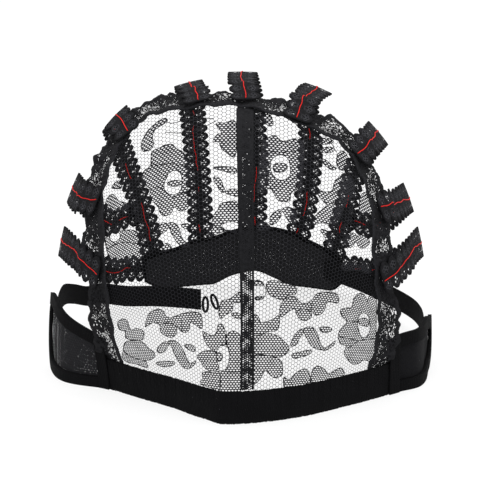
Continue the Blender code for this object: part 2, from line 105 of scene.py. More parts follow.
LOW_TAPE_RIGHT = ((41, 36.5), (53.4, 46), (66.8, 51.2), (102, 59), (144, 56), (164.2, 45.7),
                  (171, 32.5))
STRAP_ROWS_LEFT = ((77, 0.74), (84, 0.71), (98, 0.66), (110, 0.50), (121, 0.31))
STRAP_ROWS_RIGHT = ((77, 0.42), (84, 0.39), (98, 0.34), (112, 0.29), (132, 0.27), (145, 0.32),
                    (153, 0.35))
STRAP_LOOSE = ((-0.78, 0.575, 0.25), (-0.65, 0.545, 0.24), (-0.50, 0.555, 0.23),
               (-0.34, 0.540, 0.22), (-0.23, 0.520, 0.21))

# Flower lace: outlines of the petals, the open eyes in them and single drawn threads, each a
# row of places given by over and aside angles in degrees
PETALS = (
    ((29.4, -37.3), (30.2, -34.7), (29.4, -33.1), (26.6, -33.0), (26.7, -30.3), (25.6, -28.2),
     (23.2, -29.4), (23.0, -32.8), (23.9, -35.9), (26.2, -35.4), (27.1, -37.5)),
    ((22.5, -37.0), (23.0, -31.7), (21.9, -29.3), (20.3, -28.1), (19.0, -26.5), (17.3, -26.7),
     (16.2, -28.9), (15.7, -30.6), (13.1, -30.6), (14.2, -35.2), (14.6, -39.1), (16.6, -40.8),
     (19.5, -39.1)),
    ((27.0, -27.2), (29.8, -25.3), (30.9, -23.3), (31.1, -21.4), (30.5, -20.1), (29.2, -19.8),
     (28.6, -18.4), (29.1, -16.0), (29.6, -12.6), (29.2, -10.3), (28.2, -9.6), (25.3, -9.8),
     (26.4, -11.6), (26.9, -12.9), (25.2, -13.4), (24.5, -14.7), (25.1, -16.1), (26.2, -16.8),
     (24.4, -17.4), (23.4, -19.2), (24.0, -21.1), (25.2, -22.4), (27.1, -22.2), (27.8, -24.2),
     (27.2, -26.2)),
    ((19.6, -25.2), (21.5, -23.3), (22.3, -21.1), (21.4, -20.6), (19.7, -22.0), (18.7, -24.1)),
    ((22.3, -20.7), (22.5, -18.4), (21.1, -16.7), (19.1, -15.7), (17.1, -15.0), (16.0, -14.2),
     (16.7, -12.2), (15.2, -13.3), (14.2, -15.0), (14.6, -16.7), (16.4, -18.2), (18.8, -19.2),
     (20.8, -19.7)),
    ((21.1, -15.4), (21.3, -13.5), (20.5, -12.2), (19.4, -12.3), (19.7, -14.0)),
    ((15.6, -26.3), (16.1, -22.8), (16.0, -19.6), (15.0, -20.2), (14.1, -23.6), (14.6, -26.2)),
    ((24.6, -9.6), (24.0, -8.3), (23.5, -7.0), (24.4, -5.9), (25.8, -5.6), (26.3, -4.6),
     (25.1, -3.9), (22.9, -3.7), (20.7, -3.2), (21.0, -4.7), (20.2, -5.8), (19.0, -6.1),
     (19.7, -7.1), (21.0, -8.5), (22.8, -9.4)),
    ((18.1, -11.8), (19.4, -9.9), (19.7, -7.9), (19.2, -6.3), (17.2, -6.1), (15.1, -5.6),
     (14.2, -7.1), (14.6, -9.3), (16.5, -10.7)),
    ((13.3, -10.6), (14.0, -8.8), (13.7, -7.1), (14.1, -5.4), (9.0, -5.5), (9.4, -8.1),
     (10.1, -11.4), (11.9, -10.4)),
    ((20.5, -3.2), (22.7, -3.7), (24.1, -2.9), (24.6, -1.7), (23.9, -0.5), (22.2, 0.0), (8.4, 0.0),
     (8.2, -2.3), (8.4, -5.2), (13.8, -5.1), (14.9, -3.8), (16.7, -3.0), (19.0, -2.7)),
    ((31.5, -4.4), (32.0, -2.6), (33.3, -0.7), (33.5, 0.0), (31.3, 0.0), (31.1, -1.6),
     (29.3, -1.9), (28.3, -3.6), (27.4, -4.8), (29.3, -5.2)),
    ((28.8, -2.1), (28.6, 0.0), (27.4, 0.0), (27.9, -1.7)),
    ((27.4, 2.2), (28.6, 3.6), (27.7, 4.6), (26.6, 5.1), (27.1, 7.0), (27.8, 8.5), (28.6, 9.5),
     (26.7, 9.8), (24.8, 9.2), (24.5, 7.2), (23.9, 5.2), (24.2, 2.2)),
    ((22.7, 2.2), (23.7, 5.2), (24.0, 7.7), (23.3, 9.8), (22.0, 11.4), (20.8, 12.6), (19.2, 12.5),
     (18.1, 10.9), (17.9, 9.9), (18.7, 5.3), (18.7, 2.3)),
    ((18.5, 2.3), (18.5, 5.3), (18.2, 8.0), (17.6, 9.9), (16.5, 11.0), (14.6, 11.4), (12.9, 11.2),
     (12.2, 9.3), (13.1, 7.9), (14.5, 6.5), (12.4, 5.5), (10.8, 3.9), (10.8, 2.3)),
    ((12.4, 11.8), (11.4, 13.3), (13.0, 14.9), (14.1, 16.5), (14.3, 18.4), (12.7, 19.4),
     (9.6, 20.0), (9.1, 15.8), (8.8, 12.3)),
    ((12.4, 20.0), (14.2, 20.5), (15.0, 22.0), (13.9, 24.2), (12.2, 25.7), (13.3, 28.0),
     (13.8, 30.0), (11.2, 31.4), (9.8, 26.0), (9.3, 20.4)),
    ((21.0, 13.1), (22.8, 13.5), (24.7, 14.7), (25.5, 16.0), (24.4, 16.4), (22.9, 15.4),
     (21.3, 14.8), (20.8, 13.7)),
    ((25.2, 16.2), (26.0, 17.6), (25.8, 19.0), (24.4, 20.4), (22.5, 21.3), (20.5, 22.8),
     (20.8, 24.3), (22.6, 26.4), (21.1, 25.9), (19.7, 23.9), (20.0, 21.3), (20.8, 19.2),
     (22.9, 17.6)),
    ((25.9, 20.7), (26.3, 22.7), (25.9, 24.7), (25.1, 24.2), (24.7, 22.1)),
    ((18.6, 13.6), (19.2, 15.5), (19.7, 17.8), (19.7, 19.3), (18.6, 18.8), (17.8, 16.2),
     (17.5, 14.3)),
    ((28.1, 10.0), (30.0, 9.6), (31.8, 10.2), (32.8, 11.4), (33.1, 12.8), (32.5, 13.9),
     (31.7, 15.0), (31.8, 16.5), (32.9, 17.8), (34.2, 18.7), (34.9, 20.7), (35.2, 23.1),
     (34.7, 24.7), (32.8, 25.1), (32.8, 23.3), (32.4, 21.7), (30.9, 21.6), (29.5, 20.7),
     (29.1, 19.3), (30.0, 17.8), (28.6, 18.1), (27.5, 16.6), (27.9, 14.9), (29.2, 13.9),
     (30.2, 13.4), (29.6, 12.1), (28.6, 10.9)),
    ((35.4, 6.0), (36.3, 7.1), (36.2, 9.0), (35.8, 11.4), (35.2, 13.2), (33.6, 13.3), (33.3, 11.6),
     (32.1, 10.2), (32.6, 8.2), (33.4, 6.7)),
    ((31.2, 26.2), (31.9, 27.8), (32.4, 29.6), (34.6, 29.7), (36.2, 30.7), (36.6, 32.4),
     (35.6, 34.0), (34.5, 34.6), (36.2, 34.5), (37.1, 35.8), (36.7, 37.4), (13.7, 43.2),
     (13.8, 41.7), (15.5, 39.8), (16.0, 37.4), (15.0, 36.5), (14.8, 34.1), (16.3, 32.1),
     (18.7, 30.1), (20.9, 30.4), (21.8, 28.2), (24.1, 27.0), (26.1, 27.5), (28.2, 29.0),
     (29.6, 27.0)),
    ((35.9, 2.3), (36.2, 3.9), (35.8, 5.3), (35.1, 5.3), (35.1, 3.4)),
    ((32.5, 3.5), (32.7, 5.4), (32.1, 5.4), (31.8, 3.8)),
    ((70.1, -20.8), (73.2, -21.0), (76.1, -19.8), (77.5, -18.5), (78.8, -16.7), (78.8, -15.6),
     (77.2, -15.1), (76.3, -16.2), (75.6, -17.8), (73.5, -18.4), (70.7, -18.2), (69.4, -18.9)),
    ((68.4, -18.7), (68.7, -17.1), (69.0, -15.6), (68.5, -14.0), (67.0, -13.2), (65.4, -11.7),
     (63.3, -10.9), (60.5, -10.6), (57.9, -10.7), (55.4, -11.2), (53.1, -10.7), (51.8, -11.8),
     (51.9, -13.2), (53.0, -14.2), (51.8, -15.0), (51.5, -16.4), (52.4, -17.5), (53.9, -17.9),
     (55.4, -18.9), (57.3, -19.7), (58.7, -19.4), (60.5, -20.7), (62.8, -21.4), (64.2, -20.5),
     (64.8, -19.0)),
    ((48.3, -19.1), (49.4, -18.2), (50.1, -17.0), (49.3, -15.8), (48.1, -16.6), (47.8, -17.9)),
    ((49.6, -15.9), (49.5, -14.5), (48.2, -13.4), (46.4, -13.1), (45.1, -12.3), (44.3, -11.2),
     (43.8, -12.6), (45.1, -14.1), (47.0, -15.1)),
    ((48.9, -12.9), (48.7, -11.1), (47.6, -11.2), (48.1, -12.5)),
    ((45.1, -17.9), (45.3, -16.3), (44.2, -15.6), (43.7, -17.4)),
    ((52.7, -33.2), (52.7, -30.4), (51.5, -27.0), (51.2, -25.8), (50.4, -24.3), (49.3, -23.4),
     (47.4, -23.3), (45.1, -23.2), (43.5, -23.5), (43.6, -25.5), (43.5, -27.6), (44.8, -29.2),
     (43.7, -31.3), (45.0, -32.9), (47.3, -33.3), (49.5, -33.6)),
    ((62.8, -31.5), (63.3, -29.8), (61.9, -28.7), (59.8, -27.7), (58.5, -26.1), (56.9, -24.9),
     (56.5, -26.3), (58.1, -29.7), (60.1, -32.1)),
    ((64.9, -29.4), (65.9, -28.4), (65.1, -27.0), (62.9, -26.8)),
    ((72.4, -5.0), (72.5, -3.2), (72.6, -1.0), (63.1, -1.0), (64.0, -3.0), (65.4, -4.0),
     (66.8, -4.4), (67.0, -5.6), (69.1, -4.6), (69.5, -3.8)),
    ((60.4, -5.7), (60.5, -3.4), (60.0, -1.0), (58.8, -1.0), (59.4, -3.4)),
    ((58.3, -5.3), (57.6, -4.1), (56.0, -3.5), (54.9, -3.1), (54.7, -3.9), (56.1, -4.7),
     (57.6, -5.5)),
    ((54.7, -3.1), (55.4, -1.8), (55.0, -0.6), (53.8, -0.6), (54.2, -2.5)),
    ((51.3, -4.6), (52.3, -4.2), (52.6, -2.7), (52.3, -0.6), (46.5, -0.6), (46.6, -2.8),
     (45.9, -5.6), (45.1, -6.7), (46.6, -7.1), (48.2, -6.2), (49.9, -5.7)),
    ((67.7, 5.2), (69.1, 6.8), (67.9, 8.0), (67.8, 9.2), (69.0, 10.9), (68.9, 12.6), (65.9, 13.2),
     (62.0, 12.9), (56.1, 12.9), (56.1, 11.4), (55.1, 10.6), (53.8, 10.5), (53.2, 9.2),
     (53.4, 7.9), (54.7, 7.0), (55.7, 6.2), (55.2, 4.7), (54.7, 3.5), (59.3, 3.6), (64.0, 4.2),
     (66.5, 4.4)),
    ((76.4, 4.2), (76.9, 5.4), (75.1, 6.2), (72.6, 6.6), (71.8, 5.8), (73.3, 4.6)),
    ((71.3, 16.4), (72.7, 18.2), (72.5, 19.6), (70.7, 18.2), (69.9, 16.9)),
    ((68.2, 16.5), (70.1, 18.7), (69.7, 19.8), (68.1, 18.5), (67.4, 16.7)),
    ((68.9, 20.6), (71.0, 22.0), (70.1, 23.0), (68.1, 23.9), (65.9, 22.9), (64.8, 21.5),
     (65.9, 20.5)),
    ((65.6, 16.5), (65.7, 18.1), (65.0, 19.3), (64.7, 20.5), (63.7, 19.4), (64.3, 17.7)),
    ((60.9, 20.2), (63.1, 21.6), (64.6, 23.5), (63.5, 25.1), (60.3, 25.4), (57.8, 24.0),
     (55.3, 23.0), (52.8, 22.4), (51.0, 21.5), (50.6, 20.1), (50.2, 17.7), (49.3, 15.8),
     (51.5, 16.4), (53.2, 17.7), (54.6, 18.7), (55.5, 17.7), (56.5, 16.5), (57.5, 16.9),
     (57.7, 18.5), (58.7, 19.9)),
    ((60.5, 27.1), (62.8, 28.3), (63.3, 30.2), (62.5, 31.9), (59.1, 32.3), (56.4, 28.7),
     (57.0, 27.2)),
    ((47.5, 23.8), (49.5, 24.9), (50.6, 26.2), (50.4, 27.7), (51.3, 29.1), (51.3, 30.7),
     (50.3, 31.5), (48.4, 30.2), (47.8, 28.4), (48.8, 27.4), (47.1, 26.4), (46.7, 24.9)),
    ((41.9, 24.2), (43.6, 26.6), (43.5, 29.0), (44.7, 30.7), (45.0, 33.3), (44.3, 34.9),
     (42.3, 32.5), (42.1, 29.2), (41.0, 25.2)),
    ((48.2, 6.4), (49.9, 6.5), (51.0, 7.6), (51.4, 8.4), (50.3, 8.7), (49.0, 8.1), (48.1, 7.0)),
    ((51.5, 8.8), (52.2, 10.3), (51.8, 11.6), (50.6, 12.1), (48.8, 11.8), (49.1, 10.5),
     (50.5, 9.5)),
    ((48.7, 17.9), (48.8, 19.5), (46.7, 21.0), (44.8, 21.3), (45.4, 20.2), (47.1, 19.2)),
    ((48.2, 3.6), (48.5, 5.3), (47.4, 6.6), (46.8, 5.4), (46.8, 3.6)),
)
EYE_CORES = (
    ((19.0, -6.1), (19.2, -5.3), (18.5, -4.5), (17.2, -4.8), (16.9, -5.6), (17.7, -6.1)),
    ((29.2, 32.9), (30.0, 34.4), (29.4, 36.5), (27.6, 36.6), (27.7, 34.8), (27.8, 33.6)),
    ((59.0, -15.2), (59.0, -13.9), (58.5, -12.4), (57.7, -12.2), (57.5, -13.7), (58.3, -15.3)),
    ((61.1, 6.7), (61.8, 7.9), (61.8, 9.3), (60.7, 9.6), (59.7, 8.3), (59.7, 6.9)),
)
EYES = (
    ((60.9, -15.1), (61.4, -13.8), (60.4, -12.5), (58.7, -12.2), (56.6, -12.5), (55.7, -13.6),
     (56.2, -15.2), (57.7, -16.2), (59.5, -15.9)),
    ((62.0, 6.2), (63.4, 7.2), (63.9, 8.5), (63.2, 9.7), (61.3, 10.2), (59.3, 10.2), (58.2, 9.2),
     (57.9, 8.0), (58.8, 6.7), (60.4, 6.1)),
    ((30.1, 32.6), (31.4, 33.7), (31.1, 35.5), (29.2, 36.9), (26.4, 37.7), (24.3, 37.0),
     (23.9, 35.4), (26.0, 33.7), (28.3, 32.7)),
    ((52.6, -31.6), (52.4, -29.8), (51.3, -28.5), (50.2, -29.0), (50.2, -30.6), (51.3, -31.8)),
    ((47.7, -4.3), (48.4, -2.7), (48.2, -0.6), (46.8, -0.6), (46.8, -3.2)),
)
VEINS = (
    ((65.1, -19.3), (63.9, -16.8), (63.5, -14.6), (62.3, -12.5), (62.1, -10.8)),
    ((58.8, -19.8), (58.7, -18.0), (57.8, -16.4)),
    ((55.6, -11.0), (55.6, -12.8), (55.0, -14.5)),
    ((77.4, -15.6), (75.7, -14.1), (75.4, -11.3), (74.7, -8.2), (74.4, -5.4)),
    ((73.2, -15.6), (71.5, -12.8), (70.8, -9.9), (71.8, -7.4), (73.3, -5.0)),
    ((64.8, 4.2), (64.4, 6.8), (65.1, 9.9), (66.2, 12.6)),
    ((58.8, 4.3), (58.2, 5.5), (57.2, 6.5)),
    ((59.8, 12.8), (58.8, 11.3), (57.7, 10.1)),
    ((27.1, -22.2), (27.4, -19.3), (26.2, -16.8)),
    ((28.1, -15.3), (25.1, -15.5)),
    ((29.7, 13.7), (30.3, 15.5), (30.0, 17.6)),
    ((32.4, 17.8), (30.0, 17.8)),
    ((26.5, -35.2), (23.9, -36.3)),
    ((22.8, -36.4), (19.5, -39.1), (16.9, -36.1), (15.7, -30.6)),
    ((28.2, 29.0), (28.4, 31.0), (28.9, 32.9)),
    ((23.8, 27.4), (23.4, 30.4), (22.9, 34.5), (23.3, 36.8), (23.9, 40.6)),
    ((20.3, 31.2), (21.6, 32.9), (22.9, 34.5)),
    ((71.7, 15.5), (71.9, 18.5), (69.4, 20.3)),
    ((49.5, -33.6), (49.4, -30.1), (48.6, -27.1), (46.9, -23.7)),
    ((14.6, -5.4), (14.1, -3.3), (14.1, 0.0)),
    ((21.0, -3.7), (24.6, -3.4)),
    ((79.6, 5.4), (76.7, 7.8), (73.5, 11.9)),
    ((48.2, -5.7), (46.8, -4.1), (46.5, -0.6)),
    ((55.1, 18.2), (55.7, 20.6), (56.7, 22.5)),
    ((35.3, 0.0), (36.2, 2.5), (35.8, 4.8), (34.3, 6.0), (32.5, 5.6), (32.0, 3.5)),
)

# Detail sizes, in metres
SHEET_PITCH = 0.0006
NET_PITCH = 0.00168
NET_THREAD = 0.00018
PETAL_PITCH = 0.00145
PETAL_ROW = 0.00092
PETAL_HOLE = 0.00050
OUTLINE_WIRE = 0.00033
OUTLINE_STEP = 0.0008
SCALLOP_PITCH = 0.0051
SCALLOP_DEPTH = 0.0024
TOOTH_PITCH = 0.00125
TOOTH_DEPTH = 0.00020
EYELET_RADIUS = 0.00048
STITCH_WIRE = 0.00040
RIB_PITCH = 0.0009
DETAIL_PITCH = 0.0006
TAPE_DETAIL = 0.0004
WALL_CLEAR = 0.0002
MESH_INSET = 0.0012
MESH_THICKNESS = 0.0003
TAB_MESH_THICKNESS = 0.0007
KNIT_THICKNESS = 0.0008
TAB_KNIT_THICKNESS = 0.0017
PLEAT_THICKNESS = 0.0006
TAPE_THICKNESS = 0.0007
PANEL_WIDTH = 0.085
PANEL_LENGTH = 0.155
PANEL_RADIUS = 0.100
TRIM_FLARE = 0.0024
TRIM_FRILL = 0.0005
TRIM_CORD = 0.0010
BAND_PUCKER = 0.0004
BAND_FRINGE = 0.0006
BAND_BOW = 0.0003
STITCH_OUT = 0.0008
STITCH_IN = 0.00005
STITCH_HIDDEN = 0.00035
STITCH_WAVE = 0.0006
STITCH_DRIFT = 0.0011
STITCH_DASH = 0.0001
LOW_TAPE_RUN = 0.005
MILLI = 1000.0

# Angles in degrees: how far the ear tabs run past the solids, their mesh under the band and
# the pleat over the band
TAB_TAPER = 4.0
TAB_UNDER_BAND = np.array((2.0, 1.3, 0.6))
PLEAT_OVER_BAND = 2.6
PLEAT_OVER_TAB = 0.8

# How far each tape puffs off the form past the trim, in metres
PUFFS = {"crown_tape_1": 0.0030, "crown_tape_2": 0.0008, "crown_tape_3": 0.0030,
         "crown_tape_4": 0.0027, "crown_tape_5": 0.0025, "side_tape_high_left": 0.0020}
PUFF_RISE = 0.015
PUFF_HOLD = 0.045
PUFF_FADE = 0.03

# Eyelets of one scallop, in millimetres: along from its middle, in from the tape's edge, and the
# share of the eyelet's radius
EYELETS = ((0.0, 1.35, 1.0), (-1.15, 1.95, 0.9), (1.15, 1.95, 0.9), (0.0, 2.75, 1.0),
           (-0.55, 3.4, 0.7), (0.55, 3.4, 0.7))
# Share of the eyelet's radius out to which the thread round it is painted paler: painted light for
# the brightness through the eyelet
EYELET_PAINTED_RIM = 1.8

# Weaves, in millimetres on the flat cloth; cuts and spreads are in a pattern's own numbers
HOLE_SQUASH = 1.75
HOLE_SPREAD = 0.20
HOLES_SHRINK_FROM = 60.0
HOLES_SHRINK = 0.0011
KNIT_ROW = 0.8
LINT_CUT = 0.725
TAPE_ROW = 0.75
TAPE_COLUMN = 0.68
WORN_CUT = 0.60
# How much paler the painted light makes the tape's thread round each eyelet
RIM_PAINTED_LIGHT = 0.55
TRIM_CELLS = 1.7
TRIM_PULL = (0.42, 1.10, 1.0)
TRIM_OPEN = 0.54
TRIM_OPEN_SPREAD = 0.75
TRIM_THREAD = 0.12
TRIM_SOLID_EDGE = 0.9
PLEAT_PITCH = 2.3
PLEAT_WANDER = 9.0
SEAM_CELL = 0.95
SEAM_CLOSES_FROM = 45.0
SEAM_CLOSES = 0.012
SEAM_CLOSES_MOST = 0.07
SEAM_OPEN_MOST = 0.36
SEAM_SOLID_EDGE = 0.8

# Edges: distances in metres, and shares of the half width or of the run
TAPE_CLEAR = 0.006
TAPE_CLEAR_STEP = 0.009
SEWN_ABOVE_BAND = 0.0035
SEWN_STEP = 0.003
TRIM_FOOT_REACH = 0.55
TRIM_IN_LEFT = 0.34
TRIM_IN_TOP = 0.16
TRIM_LEFT_END = 0.42
TRIM_LEFT_FADE = 0.16
TRIM_TOP_END = 0.62
TRIM_TOP_FADE = 0.12
TRIM_FOOT_END = 0.05
TRIM_OUT = 0.16
SEAM_WIDER = 0.6
SEAM_WIDER_FROM = 0.15
TAPE_FULL = 1.20
TAPE_FLOAT = 0.0001
SCALLOP_POWER = 2.2
SCALLOP_FROM = 0.10
SCALLOP_OVER = 0.40

# Colours in linear light, darkest and palest of each cloth
INK = (0.0024, 0.0024, 0.0028)
NET_SHADES = (0.012, 0.012, 0.014), (0.028, 0.028, 0.032)
OUTLINE_SHADES = (0.006, 0.006, 0.007), (0.022, 0.022, 0.025)
KNIT_SHADES = (0.0022, 0.0022, 0.0025), (0.075, 0.075, 0.085)
TAPE_SHADES = INK, (0.050, 0.050, 0.056)
TRIM_SHADES = INK, (0.020, 0.020, 0.022)
SEAM_SHADES = INK, (0.016, 0.016, 0.018)
RED_SHADES = (0.36, 0.005, 0.004), (0.74, 0.020, 0.014)
FLOOR_SHADES = (0.145, 0.145, 0.146), (0.155, 0.155, 0.156)
WHITE = (1.0, 1.0, 1.0, 1.0)
SHINE = 0.08
RELIEF = 0.6

# Close meshes: the material's name, its pitch and hole in metres, and its colour. The left tab's
# colour is painted paler than the right's, as painted light for the light that shows through its
# holes.
TAB_MESHES = {"left": ("left_tab_mesh_painted_light", 0.0013, 0.00025, (0.014, 0.014, 0.0155)),
              "right": ("right_tab_mesh", 0.0010, 0.00002, (0.006, 0.006, 0.0068))}
NAPE_MESH = ("nape_mesh", 0.0011, 0.00004, (0.010, 0.010, 0.011))

# Whole cells added to a place on the cloth, so that its fraction never starts below zero
CELLS_BEFORE = 100.0

# Stage: floor sizes in metres, its glow, and the lamps' name, place, power and size
FLOOR_REACH = 6.0
FLOOR_DROP = 0.00005
FLOOR_GLOW = 0.81
LAMPS = (("key", (-0.6, -0.9, 1.3), 6.0, 0.9), ("fill", (0.9, -0.5, 0.9), 3.0, 0.9),
         ("top", (0.0, 0.1, 1.4), 11.0, 1.4), ("back", (0.2, 1.0, 1.2), 6.0, 1.0))
LAMP_TARGET = (0, 0, 0.04)

# Camera, in metres and degrees
VIEW_RISE = 18.0
VIEW_DISTANCE = 1.1
VIEW_TARGET = (0.0, -0.005, 0.045)
VIEW_ASIDE = 0.00395
VIEW_UP = 0.00263
FOCAL_LENGTH = 180.6
SENSOR_WIDTH = 36.0
CLIP_START = 0.05


def table_value(rows, keys, column=1):
    """Values on a smooth curve through one column of a table, for an array of keys."""
    xs = np.array([row[0] for row in rows], float)
    ys = np.array([row[column] for row in rows], float)
    last = len(xs) - 1
    before = np.maximum(np.arange(last + 1) - 1, 0)
    after = np.minimum(np.arange(last + 1) + 1, last)
    slopes = (ys[after] - ys[before]) / (xs[after] - xs[before])
    held = np.clip(keys, xs[0], xs[-1])
    i = np.clip(np.searchsorted(xs, held, side="right") - 1, 0, last - 1)
    span = xs[i + 1] - xs[i]
    t = (held - xs[i]) / span
    start = (2 * t**3 - 3 * t**2 + 1) * ys[i] + (t**3 - 2 * t**2 + t) * span * slopes[i]
    end = (3 * t**2 - 2 * t**3) * ys[i + 1] + (t**3 - t**2) * span * slopes[i + 1]
    return start + end


def ease(t):
    """Smooth step from 0 to 1 while t goes from 0 to 1."""
    t = np.clip(t, 0.0, 1.0)
    return t * t * (3 - 2 * t)


def solve_rising(value_at, goals, low, high):
    """Arguments between low and high where a rising function reaches each goal."""
    lows = np.full(np.shape(goals), float(low))
    highs = np.full(np.shape(goals), float(high))
    for _ in range(36):
        middles = (lows + highs) / 2
        short = value_at(middles) < goals
        lows = np.where(short, middles, lows)
        highs = np.where(short, highs, middles)
    return (lows + highs) / 2


def unit(vectors):
    """The vectors at length one."""
    return vectors / np.maximum(np.linalg.norm(vectors, axis=-1, keepdims=True), 1e-9)


def aim(over, aside):
    """Unit directions for over and aside angles in degrees."""
    turn = np.radians(over)
    lean = np.radians(aside)
    parts = (np.sin(lean), -np.cos(lean) * np.cos(turn), np.cos(lean) * np.sin(turn))
    return np.stack(np.broadcast_arrays(*parts), -1)


def round_rim(bearing, rise):
    """Unit directions for bearings and rises in degrees."""
    turn = np.radians(bearing)
    climb = np.radians(rise)
    parts = (np.cos(climb) * np.sin(turn), -np.cos(climb) * np.cos(turn), np.sin(climb))
    return np.stack(np.broadcast_arrays(*parts), -1)


def on_form(directions, lift=0.0):
    """Points on the form along directions, raised by the lift; not yet offset."""
    units = unit(directions)
    x, y, z = units[..., 0], units[..., 1], units[..., 2]
    across = np.abs(x) / (CAP_WIDTH / 2)
    along = np.abs(y) / (CAP_DEPTH / 2)
    plan = (across**PLAN_POWER + along**PLAN_POWER) ** (1 / PLAN_POWER)
    climb = np.maximum(z, 0.0) / CAP_HEIGHT
    plain = (plan**RISE_POWER + climb**RISE_POWER) ** (-1 / RISE_POWER)
    bearing = np.degrees(np.arctan2(x, -y))
    rise = np.degrees(np.arctan2(z, np.hypot(x, y)))
    share = table_value(RIM_ROWS, bearing)
    radius = plain * (1 + (share - 1) * (1 - ease(rise / RIM_FADE)))
    return units * (radius + lift)[..., None]


def near_rim(bearing, height, lift=0.0):
    """Points on the form at bearings in degrees and heights above the rim's plane."""
    bearing, height = np.broadcast_arrays(np.asarray(bearing, float), np.asarray(height, float))
    rise = solve_rising(lambda angle: on_form(round_rim(bearing, angle))[..., 2], height, 0, 80)
    rise = np.where(height <= 0, 0.0, rise)
    return on_form(round_rim(bearing, rise), lift)


def side_aside(share, over):
    """How far aside the panel's edge lies, on the side that each share is on."""
    left = table_value(LEFT_SIDE_ROWS, over)
    right = table_value(RIGHT_SIDE_ROWS, over)
    return np.where(np.asarray(share) < 0, left, right)


def panel_point(share, over, lift=0.0):
    """Points of the lace panel at shares of its half width and over angles."""
    return on_form(aim(over, share * side_aside(share, over)), lift)


def over_at_height(share, height):
    """Over angles where the panel's columns reach a height."""
    share = np.asarray(share, float)
    return solve_rising(lambda over: panel_point(share, over)[..., 2],
                        np.full(share.shape, height), 0, 60)


def curve_points(ring, count):
    """Points of a smooth curve from the second to the second last point of a row."""
    steps = np.linspace(0, 1, count + 1)[:-1, None]
    fine = []
    for i in range(1, len(ring) - 2):
        before, start, end, after = ring[i - 1:i + 3]
        fine.append(0.5 * (2 * start + (end - before) * steps
                           + (2 * before - 5 * start + 4 * end - after) * steps**2
                           + (3 * start - before - 3 * end + after) * steps**3))
    return fine


def spaced_evenly(line, pitch=None, count=None, least=2):
    """Evenly spaced places along a line of points, and the line's length."""
    runs = np.concatenate(([0.0], np.cumsum(np.linalg.norm(np.diff(line, axis=0), axis=1))))
    columns = count if count else max(least, round(runs[-1] / pitch))
    goals = np.linspace(0, runs[-1], columns + 1)
    places = np.stack([np.interp(goals, runs, line[:, k]) for k in range(line.shape[1])], -1)
    return places, runs[-1]


def smooth_path(points, pitch=None, count=None):
    """Evenly spaced places on a smooth curve through the points, and the curve's length."""
    points = [np.asarray(point, float) for point in points]
    fine = curve_points([points[0]] + points + [points[-1]], 24)
    return spaced_evenly(np.concatenate(fine + [points[-1][None]]), pitch, count)


def hash_noise(x, y, seed):
    """Smooth repeatable noise from -1 to 1 made of a few turned waves."""
    total = 0.0
    for k in range(1, 6):
        turn = seed * 1.7 + k * 2.399
        total = total + np.sin(x * k * 0.73 * cos(turn) + y * k * 0.73 * sin(turn) + k * seed)
    return total / 5


